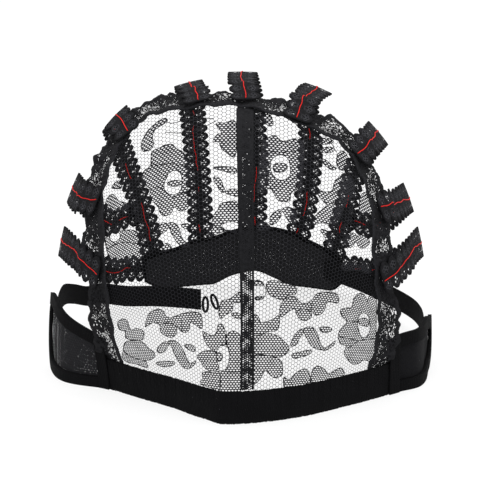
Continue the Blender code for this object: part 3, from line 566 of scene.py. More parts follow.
class Shades:
    """Small builder of a material's nodes."""

    def __init__(self, name):
        self.material = bpy.data.materials.new(name)
        self.material.use_nodes = True
        self.tree = self.material.node_tree
        self.shader = self.tree.nodes["Principled BSDF"]

    def put(self, socket, value):
        """Sets a socket to a number or links it to another socket."""
        if isinstance(value, bpy.types.NodeSocket):
            self.tree.links.new(value, socket)
        else:
            socket.default_value = value

    def math(self, operation, first, second=0.0, third=0.0):
        """One maths node; returns its result."""
        node = self.tree.nodes.new("ShaderNodeMath")
        node.operation = operation
        for socket, value in zip(node.inputs, (first, second, third)):
            self.put(socket, value)
        return node.outputs[0]

    def attribute(self, name):
        """Number that the mesh holds at each vertex."""
        node = self.tree.nodes.new("ShaderNodeAttribute")
        node.attribute_name = name
        return node.outputs["Fac"]

    def flat_place(self):
        """Place on the flat cloth, along and across, in millimetres."""
        node = self.tree.nodes.new("ShaderNodeUVMap")
        node.uv_map = "flat"
        split = self.tree.nodes.new("ShaderNodeSeparateXYZ")
        self.tree.links.new(node.outputs["UV"], split.inputs[0])
        return split.outputs[0], split.outputs[1], node.outputs["UV"]

    def noise(self, vector, scale, detail=2.0):
        """Noise from 0 to 1 over the flat cloth."""
        node = self.tree.nodes.new("ShaderNodeTexNoise")
        self.put(node.inputs["Vector"], vector)
        node.inputs["Scale"].default_value = scale
        node.inputs["Detail"].default_value = detail
        return node.outputs["Fac"]

    def honeycomb(self, along, across, pitch):
        """Distance from the nearest cell's middle, in cell widths: 0.5 at the cell's border."""
        rise = sqrt(3.0) * pitch
        best = None
        for shift in (CELLS_BEFORE, CELLS_BEFORE + 0.5):
            dx = self.math("FRACT", self.math("MULTIPLY_ADD", along, 1 / pitch, shift))
            dy = self.math("FRACT", self.math("MULTIPLY_ADD", across, 1 / rise, shift))
            dx = self.math("ABSOLUTE", self.math("SUBTRACT", dx, 0.5))
            dy = self.math("ABSOLUTE", self.math("SUBTRACT", dy, 0.5))
            slant = self.math("MULTIPLY_ADD", dy, 1.5, self.math("MULTIPLY", dx, 0.5))
            distance = self.math("MAXIMUM", dx, slant)
            best = distance if best is None else self.math("MINIMUM", best, distance)
        return best

    def finish(self, colour, alpha=None, height=None, roughness=0.9, depth=0.0002):
        """Sets the cloth's colour, openness and relief."""
        self.put(self.shader.inputs["Base Color"], colour)
        self.put(self.shader.inputs["Roughness"], roughness)
        self.shader.inputs["Specular IOR Level"].default_value = SHINE
        if alpha is not None:
            self.put(self.shader.inputs["Alpha"], alpha)
        if height is not None:
            bump = self.tree.nodes.new("ShaderNodeBump")
            bump.inputs["Strength"].default_value = RELIEF
            bump.inputs["Distance"].default_value = depth
            self.put(bump.inputs["Height"], height)
            self.tree.links.new(bump.outputs["Normal"], self.shader.inputs["Normal"])
        return self.material

    def dot(self, along, across, at_along, at_across, radius):
        """True outside a round hole whose middle lies at two places in millimetres."""
        dx = self.math("SUBTRACT", along, at_along)
        dy = self.math("SUBTRACT", across, at_across)
        square = self.math("MULTIPLY_ADD", dx, dx, self.math("MULTIPLY", dy, dy))
        return self.math("GREATER_THAN", square, radius * radius)

    def ramp(self, value, low, high):
        """Colour between two colours as the value goes from 0 to 1."""
        node = self.tree.nodes.new("ShaderNodeMix")
        node.data_type = "RGBA"
        self.put(node.inputs["Factor"], value)
        node.inputs["A"].default_value = (*low, 1.0)
        node.inputs["B"].default_value = (*high, 1.0)
        return node.outputs["Result"]


def flower_lace_material():
    """Fine six-sided net, with closely worked rows inside the petals."""
    s = Shades("flower_lace_cloth")
    along, across, place = s.flat_place()
    petal = s.attribute("petal_distance")
    net = s.honeycomb(across, along, NET_PITCH * MILLI)
    net_open = s.math("LESS_THAN", net, 0.5 - NET_THREAD / NET_PITCH / 2)
    row = s.math("MULTIPLY_ADD", across, 1 / (PETAL_ROW * MILLI), CELLS_BEFORE)
    shift = s.math("FRACT", s.math("MULTIPLY", s.math("FLOOR", row), 0.5))
    column = s.math("MULTIPLY_ADD", along, 1 / (PETAL_PITCH * MILLI), CELLS_BEFORE)
    cell = s.math("ADD", column, shift)
    dx = s.math("MULTIPLY", s.math("SUBTRACT", s.math("FRACT", cell), 0.5), PETAL_PITCH * MILLI)
    dy = s.math("MULTIPLY", s.math("SUBTRACT", s.math("FRACT", row), 0.5),
                PETAL_ROW * MILLI * HOLE_SQUASH)
    square = s.math("MULTIPLY_ADD", dx, dx, s.math("MULTIPLY", dy, dy))
    limit = s.math("MULTIPLY_ADD", s.noise(place, 0.22), HOLE_SPREAD,
                   (PETAL_HOLE * MILLI) ** 2 - HOLE_SPREAD / 2)
    above = s.math("MAXIMUM", s.math("SUBTRACT", across, HOLES_SHRINK_FROM), 0.0)
    closer = s.math("MULTIPLY", above, HOLES_SHRINK)
    petal_open = s.math("LESS_THAN", square, s.math("SUBTRACT", limit, closer))
    in_petal = s.math("LESS_THAN", petal, 0.0)
    net_part = s.math("MULTIPLY", net_open, s.math("SUBTRACT", 1.0, in_petal))
    petal_part = s.math("MULTIPLY", petal_open, in_petal)
    alpha = s.math("SUBTRACT", 1.0, s.math("ADD", net_part, petal_part))
    colour = s.ramp(s.noise(place, 0.6), *NET_SHADES)
    return s.finish(colour, alpha, s.math("MULTIPLY", net, 2.0), 0.85)


def outline_material():
    """Twisted black thread drawn round the petals."""
    s = Shades("petal_outline_thread")
    coords = s.tree.nodes.new("ShaderNodeTexCoord")
    noise = s.noise(coords.outputs["Object"], 1400.0)
    return s.finish(s.ramp(noise, *OUTLINE_SHADES), None, noise)


def mesh_material(name, pitch, hole, colour):
    """Close mesh of dark thread with small holes of uneven size."""
    s = Shades(name)
    along, across, place = s.flat_place()
    net = s.honeycomb(along, across, pitch * MILLI)
    limit = s.math("MULTIPLY_ADD", s.noise(place, 1.3, 3.0), 0.6, hole / pitch - 0.30)
    alpha = s.math("GREATER_THAN", net, limit)
    shade = s.ramp(s.noise(place, 0.8), tuple(c * 0.7 for c in colour),
                   tuple(c * 1.6 for c in colour))
    return s.finish(shade, alpha, s.math("MULTIPLY", net, 2.0))


def knit_material():
    """Black ribbed knit elastic with a little lint."""
    s = Shades("knit_elastic_cloth")
    along, across, place = s.flat_place()
    rib = s.math("SINE", s.math("MULTIPLY", along, 2 * pi / (RIB_PITCH * MILLI)))
    row = s.math("SINE", s.math("MULTIPLY", across, 2 * pi / KNIT_ROW))
    weave = s.math("MULTIPLY_ADD", row, 0.25, s.math("MULTIPLY", rib, 0.5))
    height = s.math("ADD", weave, s.math("MULTIPLY", s.noise(place, 1.6, 4.0), 0.8))
    lint = s.math("GREATER_THAN", s.noise(place, 1.15, 6.0), LINT_CUT)
    patch = s.math("MULTIPLY", s.noise(place, 0.12), 0.03)
    shade = s.ramp(s.math("MULTIPLY_ADD", lint, 0.6, patch), *KNIT_SHADES)
    return s.finish(shade, None, height, 0.95, 0.00025)


def tape_material():
    """Black lace tape: a ring of small eyelets in each scallop and a close middle; the thread round
    each eyelet is painted paler, as painted light.
    """
    s = Shades("lace_tape_cloth")
    along, across, place = s.flat_place()
    pitch = SCALLOP_PITCH * MILLI
    half = TAPE_WIDTH * MILLI / 2
    run = s.math("FRACT", s.math("MULTIPLY_ADD", along, 1 / pitch, CELLS_BEFORE))
    dx = s.math("MULTIPLY", s.math("SUBTRACT", run, 0.5), pitch)
    off = s.math("ABSOLUTE", across)
    radius = EYELET_RADIUS * MILLI
    alpha = plain = 1.0
    for at_along, inset, share in EYELETS:
        spot = (dx, off, at_along, half - inset)
        alpha = s.math("MULTIPLY", alpha, s.dot(*spot, radius * share))
        # plain drops to 0 on the thread round each eyelet, where painted light makes the tape paler
        plain = s.math("MULTIPLY", plain, s.dot(*spot, radius * share * EYELET_PAINTED_RIM))
    worn = s.math("GREATER_THAN", s.noise(place, 0.30), WORN_CUT)
    alpha = s.math("MAXIMUM", alpha, worn)
    row = s.math("SINE", s.math("MULTIPLY", across, 2 * pi / TAPE_ROW))
    cross = s.math("SINE", s.math("MULTIPLY", along, 2 * pi / TAPE_COLUMN))
    height = s.math("MULTIPLY_ADD", row, cross, s.math("MULTIPLY", s.noise(place, 1.5), 0.9))
    # Painted light: the thread round each eyelet is painted paler, standing in for the brightness
    # that shows through the eyelets
    painted_rim_light = s.math("MULTIPLY_ADD", plain, -RIM_PAINTED_LIGHT, RIM_PAINTED_LIGHT)
    shade = s.ramp(s.math("MULTIPLY_ADD", s.noise(place, 0.7, 3.0), 0.3, painted_rim_light), *TAPE_SHADES)
    return s.finish(shade, alpha, height, depth=0.0003)


def trim_material():
    """Gathered lace: close dark folds, with streaks of small ragged holes in patches."""
    s = Shades("trim_lace_cloth")
    along, across, place = s.flat_place()
    cells = s.tree.nodes.new("ShaderNodeTexVoronoi")
    cells.feature = "DISTANCE_TO_EDGE"
    cells.inputs["Scale"].default_value = TRIM_CELLS
    pulled = s.tree.nodes.new("ShaderNodeVectorMath")
    pulled.operation = "MULTIPLY"
    pulled.inputs[1].default_value = TRIM_PULL
    s.put(pulled.inputs[0], place)
    s.put(cells.inputs["Vector"], pulled.outputs[0])
    limit = s.math("MULTIPLY_ADD", s.noise(place, 0.11), -TRIM_OPEN_SPREAD, TRIM_OPEN)
    open_cell = s.math("GREATER_THAN", cells.outputs["Distance"],
                       s.math("MAXIMUM", limit, TRIM_THREAD))
    middle = s.math("LESS_THAN", s.math("ABSOLUTE", across),
                    TRIM_WIDTH * MILLI / 2 - TRIM_SOLID_EDGE)
    alpha = s.math("SUBTRACT", 1.0, s.math("MULTIPLY", open_cell, middle))
    wander = s.math("MULTIPLY", s.noise(place, 0.25), PLEAT_WANDER)
    pleat = s.math("SINE", s.math("MULTIPLY_ADD", along, 2 * pi / PLEAT_PITCH, wander))
    height = s.math("MULTIPLY_ADD", s.noise(place, 1.4, 4.0), 1.2, s.math("MULTIPLY", pleat, 0.5))
    shade = s.ramp(s.noise(place, 0.5, 3.0), *TRIM_SHADES)
    return s.finish(shade, alpha, height, depth=0.0005)


def seam_material():
    """Narrow double lace: a solid thread at each edge and dotted lace between in its lower part."""
    s = Shades("seam_lace_cloth")
    along, across, place = s.flat_place()
    cells = s.honeycomb(along, across, SEAM_CELL)
    above = s.math("MAXIMUM", s.math("SUBTRACT", along, SEAM_CLOSES_FROM), 0.0)
    upper = s.math("MULTIPLY", above, SEAM_CLOSES)
    limit = s.math("SUBTRACT", s.math("MULTIPLY_ADD", s.noise(place, 0.28), 1.5, -0.56),
                   s.math("MINIMUM", upper, SEAM_CLOSES_MOST))
    open_cell = s.math("LESS_THAN", cells, s.math("MINIMUM", limit, SEAM_OPEN_MOST))
    middle = s.math("LESS_THAN", s.math("ABSOLUTE", across),
                    SEAM_WIDTH * MILLI / 2 - SEAM_SOLID_EDGE)
    alpha = s.math("SUBTRACT", 1.0, s.math("MULTIPLY", open_cell, middle))
    shade = s.ramp(s.noise(place, 0.9), *SEAM_SHADES)
    return s.finish(shade, alpha, s.noise(place, 1.8, 3.0), depth=0.0003)


def stitch_material():
    """Twisted red sewing thread."""
    s = Shades("red_stitch_thread")
    coords = s.tree.nodes.new("ShaderNodeTexCoord")
    noise = s.noise(coords.outputs["Object"], 900.0)
    return s.finish(s.ramp(noise, *RED_SHADES), None, noise, 0.6, 0.0001)


def stage_material():
    """Pale floor with a faint grain and a little glow."""
    s = Shades("pale_floor")
    coords = s.tree.nodes.new("ShaderNodeTexCoord")
    grain = s.noise(coords.outputs["Object"], 60.0)
    s.shader.inputs["Emission Color"].default_value = WHITE
    s.shader.inputs["Emission Strength"].default_value = FLOOR_GLOW
    return s.finish(s.ramp(grain, *FLOOR_SHADES))


def new_piece(name, points, faces, material):
    """Smooth mesh object of one material, in the scene."""
    mesh = bpy.data.meshes.new(name)
    mesh.from_pydata((points + CAP_OFFSET).tolist(), [], faces)
    mesh.polygons.foreach_set("use_smooth", np.ones(len(faces), bool))
    mesh.materials.append(material)
    mesh.update()
    piece = bpy.data.objects.new(name, mesh)
    bpy.context.scene.collection.objects.link(piece)
    return piece


def cloth_piece(name, places, flat, material, node, thickness=0.0, values=()):
    """Cloth laid through a grid of places, with its flat cloth map in millimetres."""
    rows, columns = places.shape[:2]
    index = np.arange(rows * columns).reshape(rows, columns)
    quads = np.stack((index[:-1, :-1], index[:-1, 1:], index[1:, 1:], index[1:, :-1]), -1)
    quads = quads.reshape(-1, 4)
    piece = new_piece(name, places.reshape(-1, 3), quads.tolist(), material)
    mesh = piece.data
    layer = mesh.uv_layers.new(name="flat")
    layer.data.foreach_set("uv", flat.reshape(-1, 2)[quads.reshape(-1)].astype(np.float32).ravel())
    for label, numbers in values:
        attribute = mesh.attributes.new(label, "FLOAT", "POINT")
        attribute.data.foreach_set("value", numbers.reshape(-1).astype(np.float32))
    middle = mesh.polygons[len(quads) // 2]
    outward = Vector(middle.center) - Vector((*CAP_OFFSET[:2], 0.0))
    if middle.normal.dot(outward) < 0:
        mesh.flip_normals()
    if thickness:
        solid = piece.modifiers.new("thickness", "SOLIDIFY")
        solid.thickness = thickness
        solid.offset = 1.0
    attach(piece, "root")
    if node:
        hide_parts(node)
    return piece


def flat_map(places):
    """Flat cloth map of a grid: arc lengths along its middle row and up its columns, in mm."""
    rows, columns = places.shape[:2]
    steps = np.linalg.norm(np.diff(places, axis=1), axis=-1)
    along = np.concatenate((np.zeros((rows, 1)), np.cumsum(steps, axis=1)), axis=1)
    climbs = np.linalg.norm(np.diff(places, axis=0), axis=-1)
    up = np.concatenate((np.zeros((1, columns)), np.cumsum(climbs, axis=0)), axis=0)
    return np.stack((along, up), -1) * MILLI


def sheet_from(name, places, flat, material, node, thickness=0.0, values=()):
    """Cloth piece laid through a grid of places, as cloth_piece makes it."""
    piece = cloth_piece(name, places, flat, material, node, thickness, values)


def inside_any(shapes, points):
    """True for each point, in over and aside, that lies in at least one closed outline."""
    found = np.zeros(len(points), bool)
    for shape in shapes:
        near = ((points[:, 0] > shape[:, 0].min()) & (points[:, 0] < shape[:, 0].max())
                & (points[:, 1] > shape[:, 1].min()) & (points[:, 1] < shape[:, 1].max()))
        some = points[near]
        odd = np.zeros(len(some), bool)
        ends = np.roll(shape, -1, axis=0)
        for (a0, a1), (b0, b1) in zip(shape, ends):
            if a0 == b0:
                continue
            crosses = (a0 > some[:, 0]) != (b0 > some[:, 0])
            odd ^= crosses & (some[:, 1] < (b1 - a1) * (some[:, 0] - a0) / (b0 - a0) + a1)
        found[near] |= odd
    return found


def closed_outline(rows):
    """Smooth closed outline through a petal's places."""
    points = [np.array(row, float) for row in rows]
    return np.concatenate(curve_points(points[-2:] + points + points[:2], 8))


def thread_lines(lines, closed):
    """Evenly spaced points along drawn threads on the form, one array for each thread."""
    drawn = []
    for line, loop in zip(lines, closed):
        ends = np.concatenate((line, line[:1])) if loop else line
        path = on_form(aim(ends[:, 0], ends[:, 1]))
        drawn.append(spaced_evenly(path, OUTLINE_STEP, least=3)[0])
    return drawn


def thread_tree(drawn):
    """Points of all drawn threads, as a search tree."""
    spots = np.concatenate([np.concatenate((line, (line[1:] + line[:-1]) / 2)) for line in drawn])
    tree = KDTree(len(spots))
    for i, spot in enumerate(spots):
        tree.insert(spot, i)
    tree.balance()
    return tree


def thread_piece(name, paths, wire, material, closed=None):
    """Threads of one thickness through paths of points, as five-sided tubes in one mesh."""
    sides = 5
    turns = np.linspace(0, 2 * pi, sides + 1)[:-1]
    points, faces = [], []
    start = 0
    for i, path in enumerate(paths):
        loop = closed is not None and closed[i]
        ahead = np.gradient(path, axis=0)
        if loop:
            path = path[:-1]
            ahead = np.roll(path, -1, axis=0) - np.roll(path, 1, axis=0)
        ahead = unit(ahead)
        side = unit(np.cross(ahead, unit(path)))
        up = np.cross(side, ahead)
        ring = (path[:, None] + (side[:, None] * np.cos(turns)[:, None]
                                 + up[:, None] * np.sin(turns)[:, None]) * wire / 2)
        count = len(path)
        index = start + np.arange(count * sides).reshape(count, sides)
        ahead_index = np.roll(index, -1, axis=0) if loop else index[1:]
        here = index if loop else index[:-1]
        faces.append(np.stack((here, np.roll(here, -1, axis=1), np.roll(ahead_index, -1, axis=1),
                               ahead_index), -1).reshape(-1, 4).tolist())
        if not loop:
            faces.append([index[0][::-1].tolist(), index[-1].tolist()])
        points.append(ring.reshape(-1, 3))
        start += count * sides
    piece = new_piece(name, np.concatenate(points), [face for group in faces for face in group],
                      material)
    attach(piece, "root")


def on_panel(places, start, end):
    """True for places on the form that lie on the panel between two shares of its half width."""
    units = unit(places)
    aside = np.degrees(np.arcsin(units[..., 0]))
    over = np.degrees(np.arctan2(units[..., 2], -units[..., 1]))
    share = aside / side_aside(aside, over)
    return ((share > start) & (share < end) & (over < table_value(TOP_ROWS, share))
            & (places[..., 2] > BAND_WIDTH - BAND_LAP))


def runs_of(keep):
    """Start and end of each run of true values."""
    edges = np.flatnonzero(np.diff(np.concatenate(([0], keep.astype(int), [0]))))
    return list(zip(edges[::2], edges[1::2]))


def drawn_climb(over):
    """Climb up the flat panel at over angles; the net is drawn out towards the crown."""
    overs = np.linspace(0, 90, 181)
    line = on_form(aim(overs, np.zeros(181)))
    tilt = radians(VIEW_RISE)
    arcs = np.linalg.norm(np.diff(line, axis=0), axis=1)
    rises = np.diff(line[:, 2] * cos(tilt) + line[:, 1] * sin(tilt))
    climbs = np.concatenate(([0.0], np.cumsum(np.maximum(rises, arcs * 0.5))))
    return np.interp(over, overs, climbs)


def make_flower_lace():
    """The two halves of the flower lace panel."""
    petals = [closed_outline(rows) for rows in PETALS]
    eyes = [closed_outline(rows) for rows in EYES]
    cores = [closed_outline(rows) for rows in EYE_CORES]
    veins = [smooth_path(rows, count=40)[0] for rows in VEINS]
    lines = petals + eyes + cores + veins
    closed = [True] * (len(lines) - len(veins)) + [False] * len(veins)
    drawn = thread_lines(lines, closed)
    tree = thread_tree(drawn)
    outline = outline_material()
    material = flower_lace_material()
    seam_gap = END_GAP / CAP_WIDTH
    for label, start, end in (("left", -1.0, SEAM_SHARE - seam_gap),
                              ("right", SEAM_SHARE + seam_gap, 1.0)):
        columns = round(PANEL_WIDTH / SHEET_PITCH)
        rows = round(PANEL_LENGTH / SHEET_PITCH)
        share = np.linspace(start, end, columns + 1)[None, :]
        foot = over_at_height(share, BAND_WIDTH - BAND_LAP)
        top = table_value(TOP_ROWS, share)
        over = foot + (top - foot) * np.linspace(0, 1, rows + 1)[:, None]
        shares = np.broadcast_to(share, over.shape)
        aside = shares * side_aside(shares, over)
        places = on_form(aim(over, aside), LACE_WALL * 0.5)
        angles = np.stack((over.ravel(), aside.ravel()), -1)
        inside = inside_any(petals, angles) & ~inside_any(eyes, angles)
        inside |= inside_any(cores, angles)
        surface = on_form(aim(over, aside)).reshape(-1, 3)
        distance = np.array([tree.find(spot)[2] for spot in surface]) * MILLI
        signed = np.where(inside, -distance, distance)
        flat = np.stack((np.radians(aside) * PANEL_RADIUS, drawn_climb(over)), -1) * MILLI
        sheet_from("flower_lace_" + label, places, flat, material, "lace_" + label,
                   values=(("petal_distance", signed),))
        threads = []
        for line in drawn:
            for first, last in runs_of(on_panel(line, start, end)):
                if last - first > 2:
                    threads.append(on_form(line[first:last], LACE_WALL * 0.5 + OUTLINE_WIRE * 0.3))
        thread_piece("petal_outlines_" + label, threads, OUTLINE_WIRE, outline)


def strip_places(path, width, columns_across, lift_at, edge_at=None):
    """Grid of places of a strip along a path: lift_at(run share, across, targets)."""
    side = unit(np.cross(path, np.gradient(path, axis=0)))
    across = np.linspace(-0.5, 0.5, columns_across + 1)[:, None]
    run = np.linspace(0, 1, len(path))[None, :]
    offsets = across * width
    if edge_at is not None:
        offsets = offsets * edge_at(run, across)
    offsets = np.broadcast_to(offsets, (columns_across + 1, len(path)))
    targets = path[None] + side[None] * offsets[..., None]
    return on_form(targets, lift_at(run, across, targets)), offsets


def strip_flat(offsets, length):
    """Flat cloth map of a strip in millimetres, with 0 across at its middle."""
    run = np.linspace(0, length, offsets.shape[1])[None, :]
    return np.stack((np.broadcast_to(run, offsets.shape), offsets), -1) * MILLI


def trim_path():
    """Path of the trim: up one side of the panel, over its top edge and down the other side."""
    sides = []
    for share in (-1.0, 1.0):
        foot = float(over_at_height(share, BAND_WIDTH + SLANT_GAP))
        top = float(table_value(TOP_ROWS, np.array(share)))
        overs = foot + (top - foot) * np.linspace(0, 1, 6)
        sides.append(list(panel_point(np.full(6, share), overs)))
    inner = [panel_point(np.array(row[0]), np.array(float(row[1]))) for row in TOP_ROWS[1:-1]]
    return sides[0] + inner + sides[1][::-1]


def tape_feet():
    """Places where the tapes cross the trim."""
    ways = [rows[0] for rows in CROWN_TAPES]
    ways += [HIGH_TAPE_LEFT[0], HIGH_TAPE_RIGHT[0], LOW_TAPE_LEFT[0], LOW_TAPE_RIGHT[0]]
    ways = np.array(ways, float)
    return on_form(aim(ways[:, 0], ways[:, 1]))


def make_trim():
    """Gathered lace trim: its outer edge flares off the form between the tapes."""
    points = trim_path()
    coarse, _ = smooth_path(points, count=110)
    foot = [points[0] * 2 - points[1], points[-1] * 2 - points[-2]]
    reach = [points[0] + (foot[0] - points[0]) * TRIM_FOOT_REACH,
             points[-1] + (foot[1] - points[-1]) * TRIM_FOOT_REACH]
    points = [reach[0]] + points + [reach[1]]
    path, length = smooth_path(points, pitch=DETAIL_PITCH)
    ripples = round(length / TRIM_RIPPLE_PITCH)
    feet = tape_feet()
    near_tape = np.linalg.norm(path[:, None] - feet[None], axis=-1).min(axis=1)
    clear = ease((near_tape - TAPE_CLEAR) / TAPE_CLEAR_STEP)[None, :]
    height = path[:, 2][None, :]
    sewn = ease((BAND_WIDTH + SEWN_ABOVE_BAND - height) / SEWN_STEP)
    middle = on_form(aim(np.array(45.0), np.array(0.0)))
    side = unit(np.cross(path, np.gradient(path, axis=0)))
    outer = np.sign(-(side * (middle - path)).sum(axis=1))[None, :]

    def lift_at(run, across, targets):
        out = np.clip(across * outer * 2, -1, 1)
        wave = np.sin(2 * pi * ripples * run + pi * (across + 0.5))
        place = run * length * MILLI
        fine = hash_noise(place * 1.9, across * 5, 3.1) * (0.25 + 0.5 * np.abs(across) * 2)
        frill = np.sin(place * 1.15 + 2.0 * hash_noise(place * 0.3, 0.0, 5.2)) * ease(out)
        flare = TRIM_FLARE * ease(out) ** 1.2 * (0.75 + 0.5 * hash_noise(place * 0.35, 0.0, 7.7))
        loose = (flare + TRIM_FRILL * frill) * clear * (1 - sewn)
        lift = TRIM_LIFT + TRIM_RIPPLE * (wave + fine) + LACE_WALL * 0.5 + loose
        return lift * (1 - sewn) + (LACE_WALL + WALL_CLEAR) * sewn

    def edge_at(run, across):
        place = run * length * MILLI
        ragged = hash_noise(place * 0.9, np.sign(across) * 3.0, 1.3)
        teeth = hash_noise(place * 4.5, np.sign(across) * 5.0, 2.9)
        out = np.clip(across * outer * 2, -1, 1)
        past_left = ease((run - TRIM_LEFT_END) / TRIM_LEFT_FADE)
        past_top = ease((run - TRIM_TOP_END) / TRIM_TOP_FADE)
        inward = TRIM_IN_LEFT * (1 - past_left) + TRIM_IN_TOP * past_left * (1 - past_top)
        inward = inward * ease((run - TRIM_FOOT_END) / TRIM_TOP_FADE)
        return (1.05 + 0.06 * ragged + 0.025 * teeth + TRIM_OUT * (out > 0.9) * clear
                + inward * (out < 0))

    places, offsets = strip_places(path, TRIM_WIDTH, 18, lift_at, edge_at)
    sheet_from("gathered_trim", places, strip_flat(offsets, length), trim_material(), "edge_trim",
               MESH_THICKNESS)
    wobble = hash_noise(np.arange(len(path)) * 0.21, 0.0, 4.4) * 0.0004
    run = np.linspace(0, 1, len(path))[None, :]
    reach = TRIM_WIDTH * 0.5 * edge_at(run, -0.5 * outer)[0]
    cord = path + side * (-outer[0] * reach + wobble)[:, None]
    lift = lift_at(run, -0.5 * outer, cord[None])[0]
    thread_piece("trim_inner_binding", [on_form(cord, lift)[::2]], TRIM_CORD, outline_material())
    return coarse


def make_seam():
    """Narrow double lace down the middle of the panel."""
    foot = float(over_at_height(SEAM_SHARE, BAND_WIDTH + END_GAP))
    top = float(table_value(TOP_ROWS, np.array(SEAM_SHARE)))
    reach = TRIM_WIDTH / 2 + SLANT_GAP
    edge = panel_point(np.array(SEAM_SHARE), np.array(top))
    while np.linalg.norm(panel_point(np.array(SEAM_SHARE), np.array(top)) - edge) < reach:
        top -= 0.1
    points = list(panel_point(np.full(5, SEAM_SHARE), foot + (top - foot) * np.linspace(0, 1, 5)))
    path, length = smooth_path(points, pitch=DETAIL_PITCH * 1.5)

    def edge_at(run, across):
        wider = SEAM_WIDER * ease((run - SEAM_WIDER_FROM) / (1 - SEAM_WIDER_FROM))
        ragged = hash_noise(run * length * MILLI * 1.3, across * 4, 6.1)
        return 1.0 + wider * (across > 0) + 0.04 * ragged

    def lift_at(run, across, targets):
        return BINDING_LIFT + WALL_CLEAR

    places, offsets = strip_places(path, SEAM_WIDTH, 10, lift_at, edge_at)
    cloth_piece("middle_seam_lace", places, strip_flat(offsets, length), seam_material(),
                "centre_seam", MESH_THICKNESS)


def make_band(knit):
    """Wide knitted elastic across the forehead, puckered above and a little ragged at its edges."""
    columns = 480
    bearing = np.linspace(-TAB_BEARING, TAB_BEARING, columns + 1)[None, :]
    rise = np.linspace(0, 1, 25)[:, None]
    pucker = hash_noise(bearing * 2.1, rise * 0, 2.2) * BAND_PUCKER
    fringe = np.abs(hash_noise(np.arange(columns + 1)[None, :] * 2.6, 0.0, 8.3)) * BAND_FRINGE
    height = BAND_WIDTH * rise + fringe * ((rise == 0) - 0.9 * (rise == 1))
    lift = BINDING_LIFT + WALL_CLEAR + (np.sin(pi * rise) * BAND_BOW + pucker * rise)
    places = near_rim(np.broadcast_to(bearing, height.shape), height, lift)
    sheet_from("forehead_elastic", places, flat_map(places), knit, "front_band",
               KNIT_THICKNESS)


def rim_patch(bearings, lows, highs, rows, lift):
    """Grid of places between two edges given by bearing and height."""
    share = np.linspace(0, 1, rows + 1)[:, None]
    height = lows[None, :] + (highs - lows)[None, :] * share
    return near_rim(np.broadcast_to(bearings[None, :], height.shape), height, lift)


def make_ear_tabs(knit):
    """Mesh sideburn tabs with their elastic bindings and the pleat at the band's end."""
    gap_angle = np.degrees(2 * END_GAP / CAP_WIDTH)
    meshes = {label: mesh_material(*row) for label, row in TAB_MESHES.items()}
    for label, side, rows in (("left", -1, TAB_ROWS_LEFT), ("right", 1, TAB_ROWS_RIGHT)):
        bearings = np.linspace(TAB_BEARING + gap_angle, TAB_END_BEARING + TAB_TAPER, 65)
        low = np.maximum(EAR_TAB_HEIGHT * table_value(rows, bearings, 1), 0.0)
        high = EAR_TAB_HEIGHT * table_value(rows, bearings, 2)
        turned = bearings * side
        under = np.concatenate((TAB_BEARING - TAB_UNDER_BAND, bearings))
        foot_edge = np.concatenate((low[[0, 0, 0]], low)) + MESH_INSET
        top_edge = np.concatenate((high[[0, 0, 0]], high)) - MESH_INSET
        cloth = rim_patch(under * side, foot_edge, top_edge, 24, LACE_WALL * 0.1)
        sheet_from("tab_mesh_" + label, cloth, flat_map(cloth), meshes[label], "ear_tab_" + label,
                   TAB_MESH_THICKNESS)
        width = np.minimum(EAR_BINDING_WIDTH, (high - low - END_GAP) / 2)
        top = rim_patch(turned, high - width, high, 6, LACE_WALL * 0.9)
        cloth_piece("tab_top_elastic_" + label, top, flat_map(top), knit, "ear_top_" + label,
                    TAB_KNIT_THICKNESS)
        foot = rim_patch(turned, low, low + width - END_GAP, 6, LACE_WALL * 0.9)
        cloth_piece("tab_foot_elastic_" + label, foot, flat_map(foot), knit, "ear_foot_" + label,
                    TAB_KNIT_THICKNESS)
        pleat = np.linspace(TAB_BEARING - PLEAT_OVER_BAND,
                            TAB_BEARING + gap_angle + PLEAT_OVER_TAB, 9)
        top_edge = np.full(9, EAR_TAB_HEIGHT * table_value(rows, np.array(TAB_BEARING), 2))
        over_band = BINDING_LIFT + BINDING_WALL + WALL_CLEAR
        fold = rim_patch(pleat * side, np.full(9, WALL_CLEAR), top_edge - PLEAT_THICKNESS, 24,
                         over_band)
        cloth_piece("tab_front_pleat_" + label, fold, flat_map(fold), knit, None,
                    PLEAT_THICKNESS)


def make_nape(knit):
    """Mesh crescent at the nape with an elastic binding along each edge."""
    off_back = np.linspace(NAPE_ROWS[0][0], NAPE_ROWS[-1][0], 121)
    low = np.maximum(NAPE_HEIGHT * table_value(NAPE_ROWS, off_back, 1), 0.0)
    high = NAPE_HEIGHT * table_value(NAPE_ROWS, off_back, 2)
    bearing = 180 - off_back
    bearing = np.where(bearing > 180, bearing - 360, bearing)
    cloth = rim_patch(bearing, low + MESH_INSET, high - MESH_INSET, 24, LACE_WALL * 0.5)
    sheet_from("nape_mesh_cloth", cloth, flat_map(cloth), mesh_material(*NAPE_MESH), "nape_panel",
               MESH_THICKNESS)
    top = rim_patch(bearing, high - NAPE_TOP_WIDTH, high, 8, BINDING_LIFT + WALL_CLEAR)
    cloth_piece("nape_top_elastic", top, flat_map(top), knit, "nape_top",
                KNIT_THICKNESS)
    foot = rim_patch(bearing, low, low + NAPE_FOOT_WIDTH, 6, BINDING_LIFT + WALL_CLEAR)
    cloth_piece("nape_foot_elastic", foot, flat_map(foot), knit, "nape_foot",
                KNIT_THICKNESS)


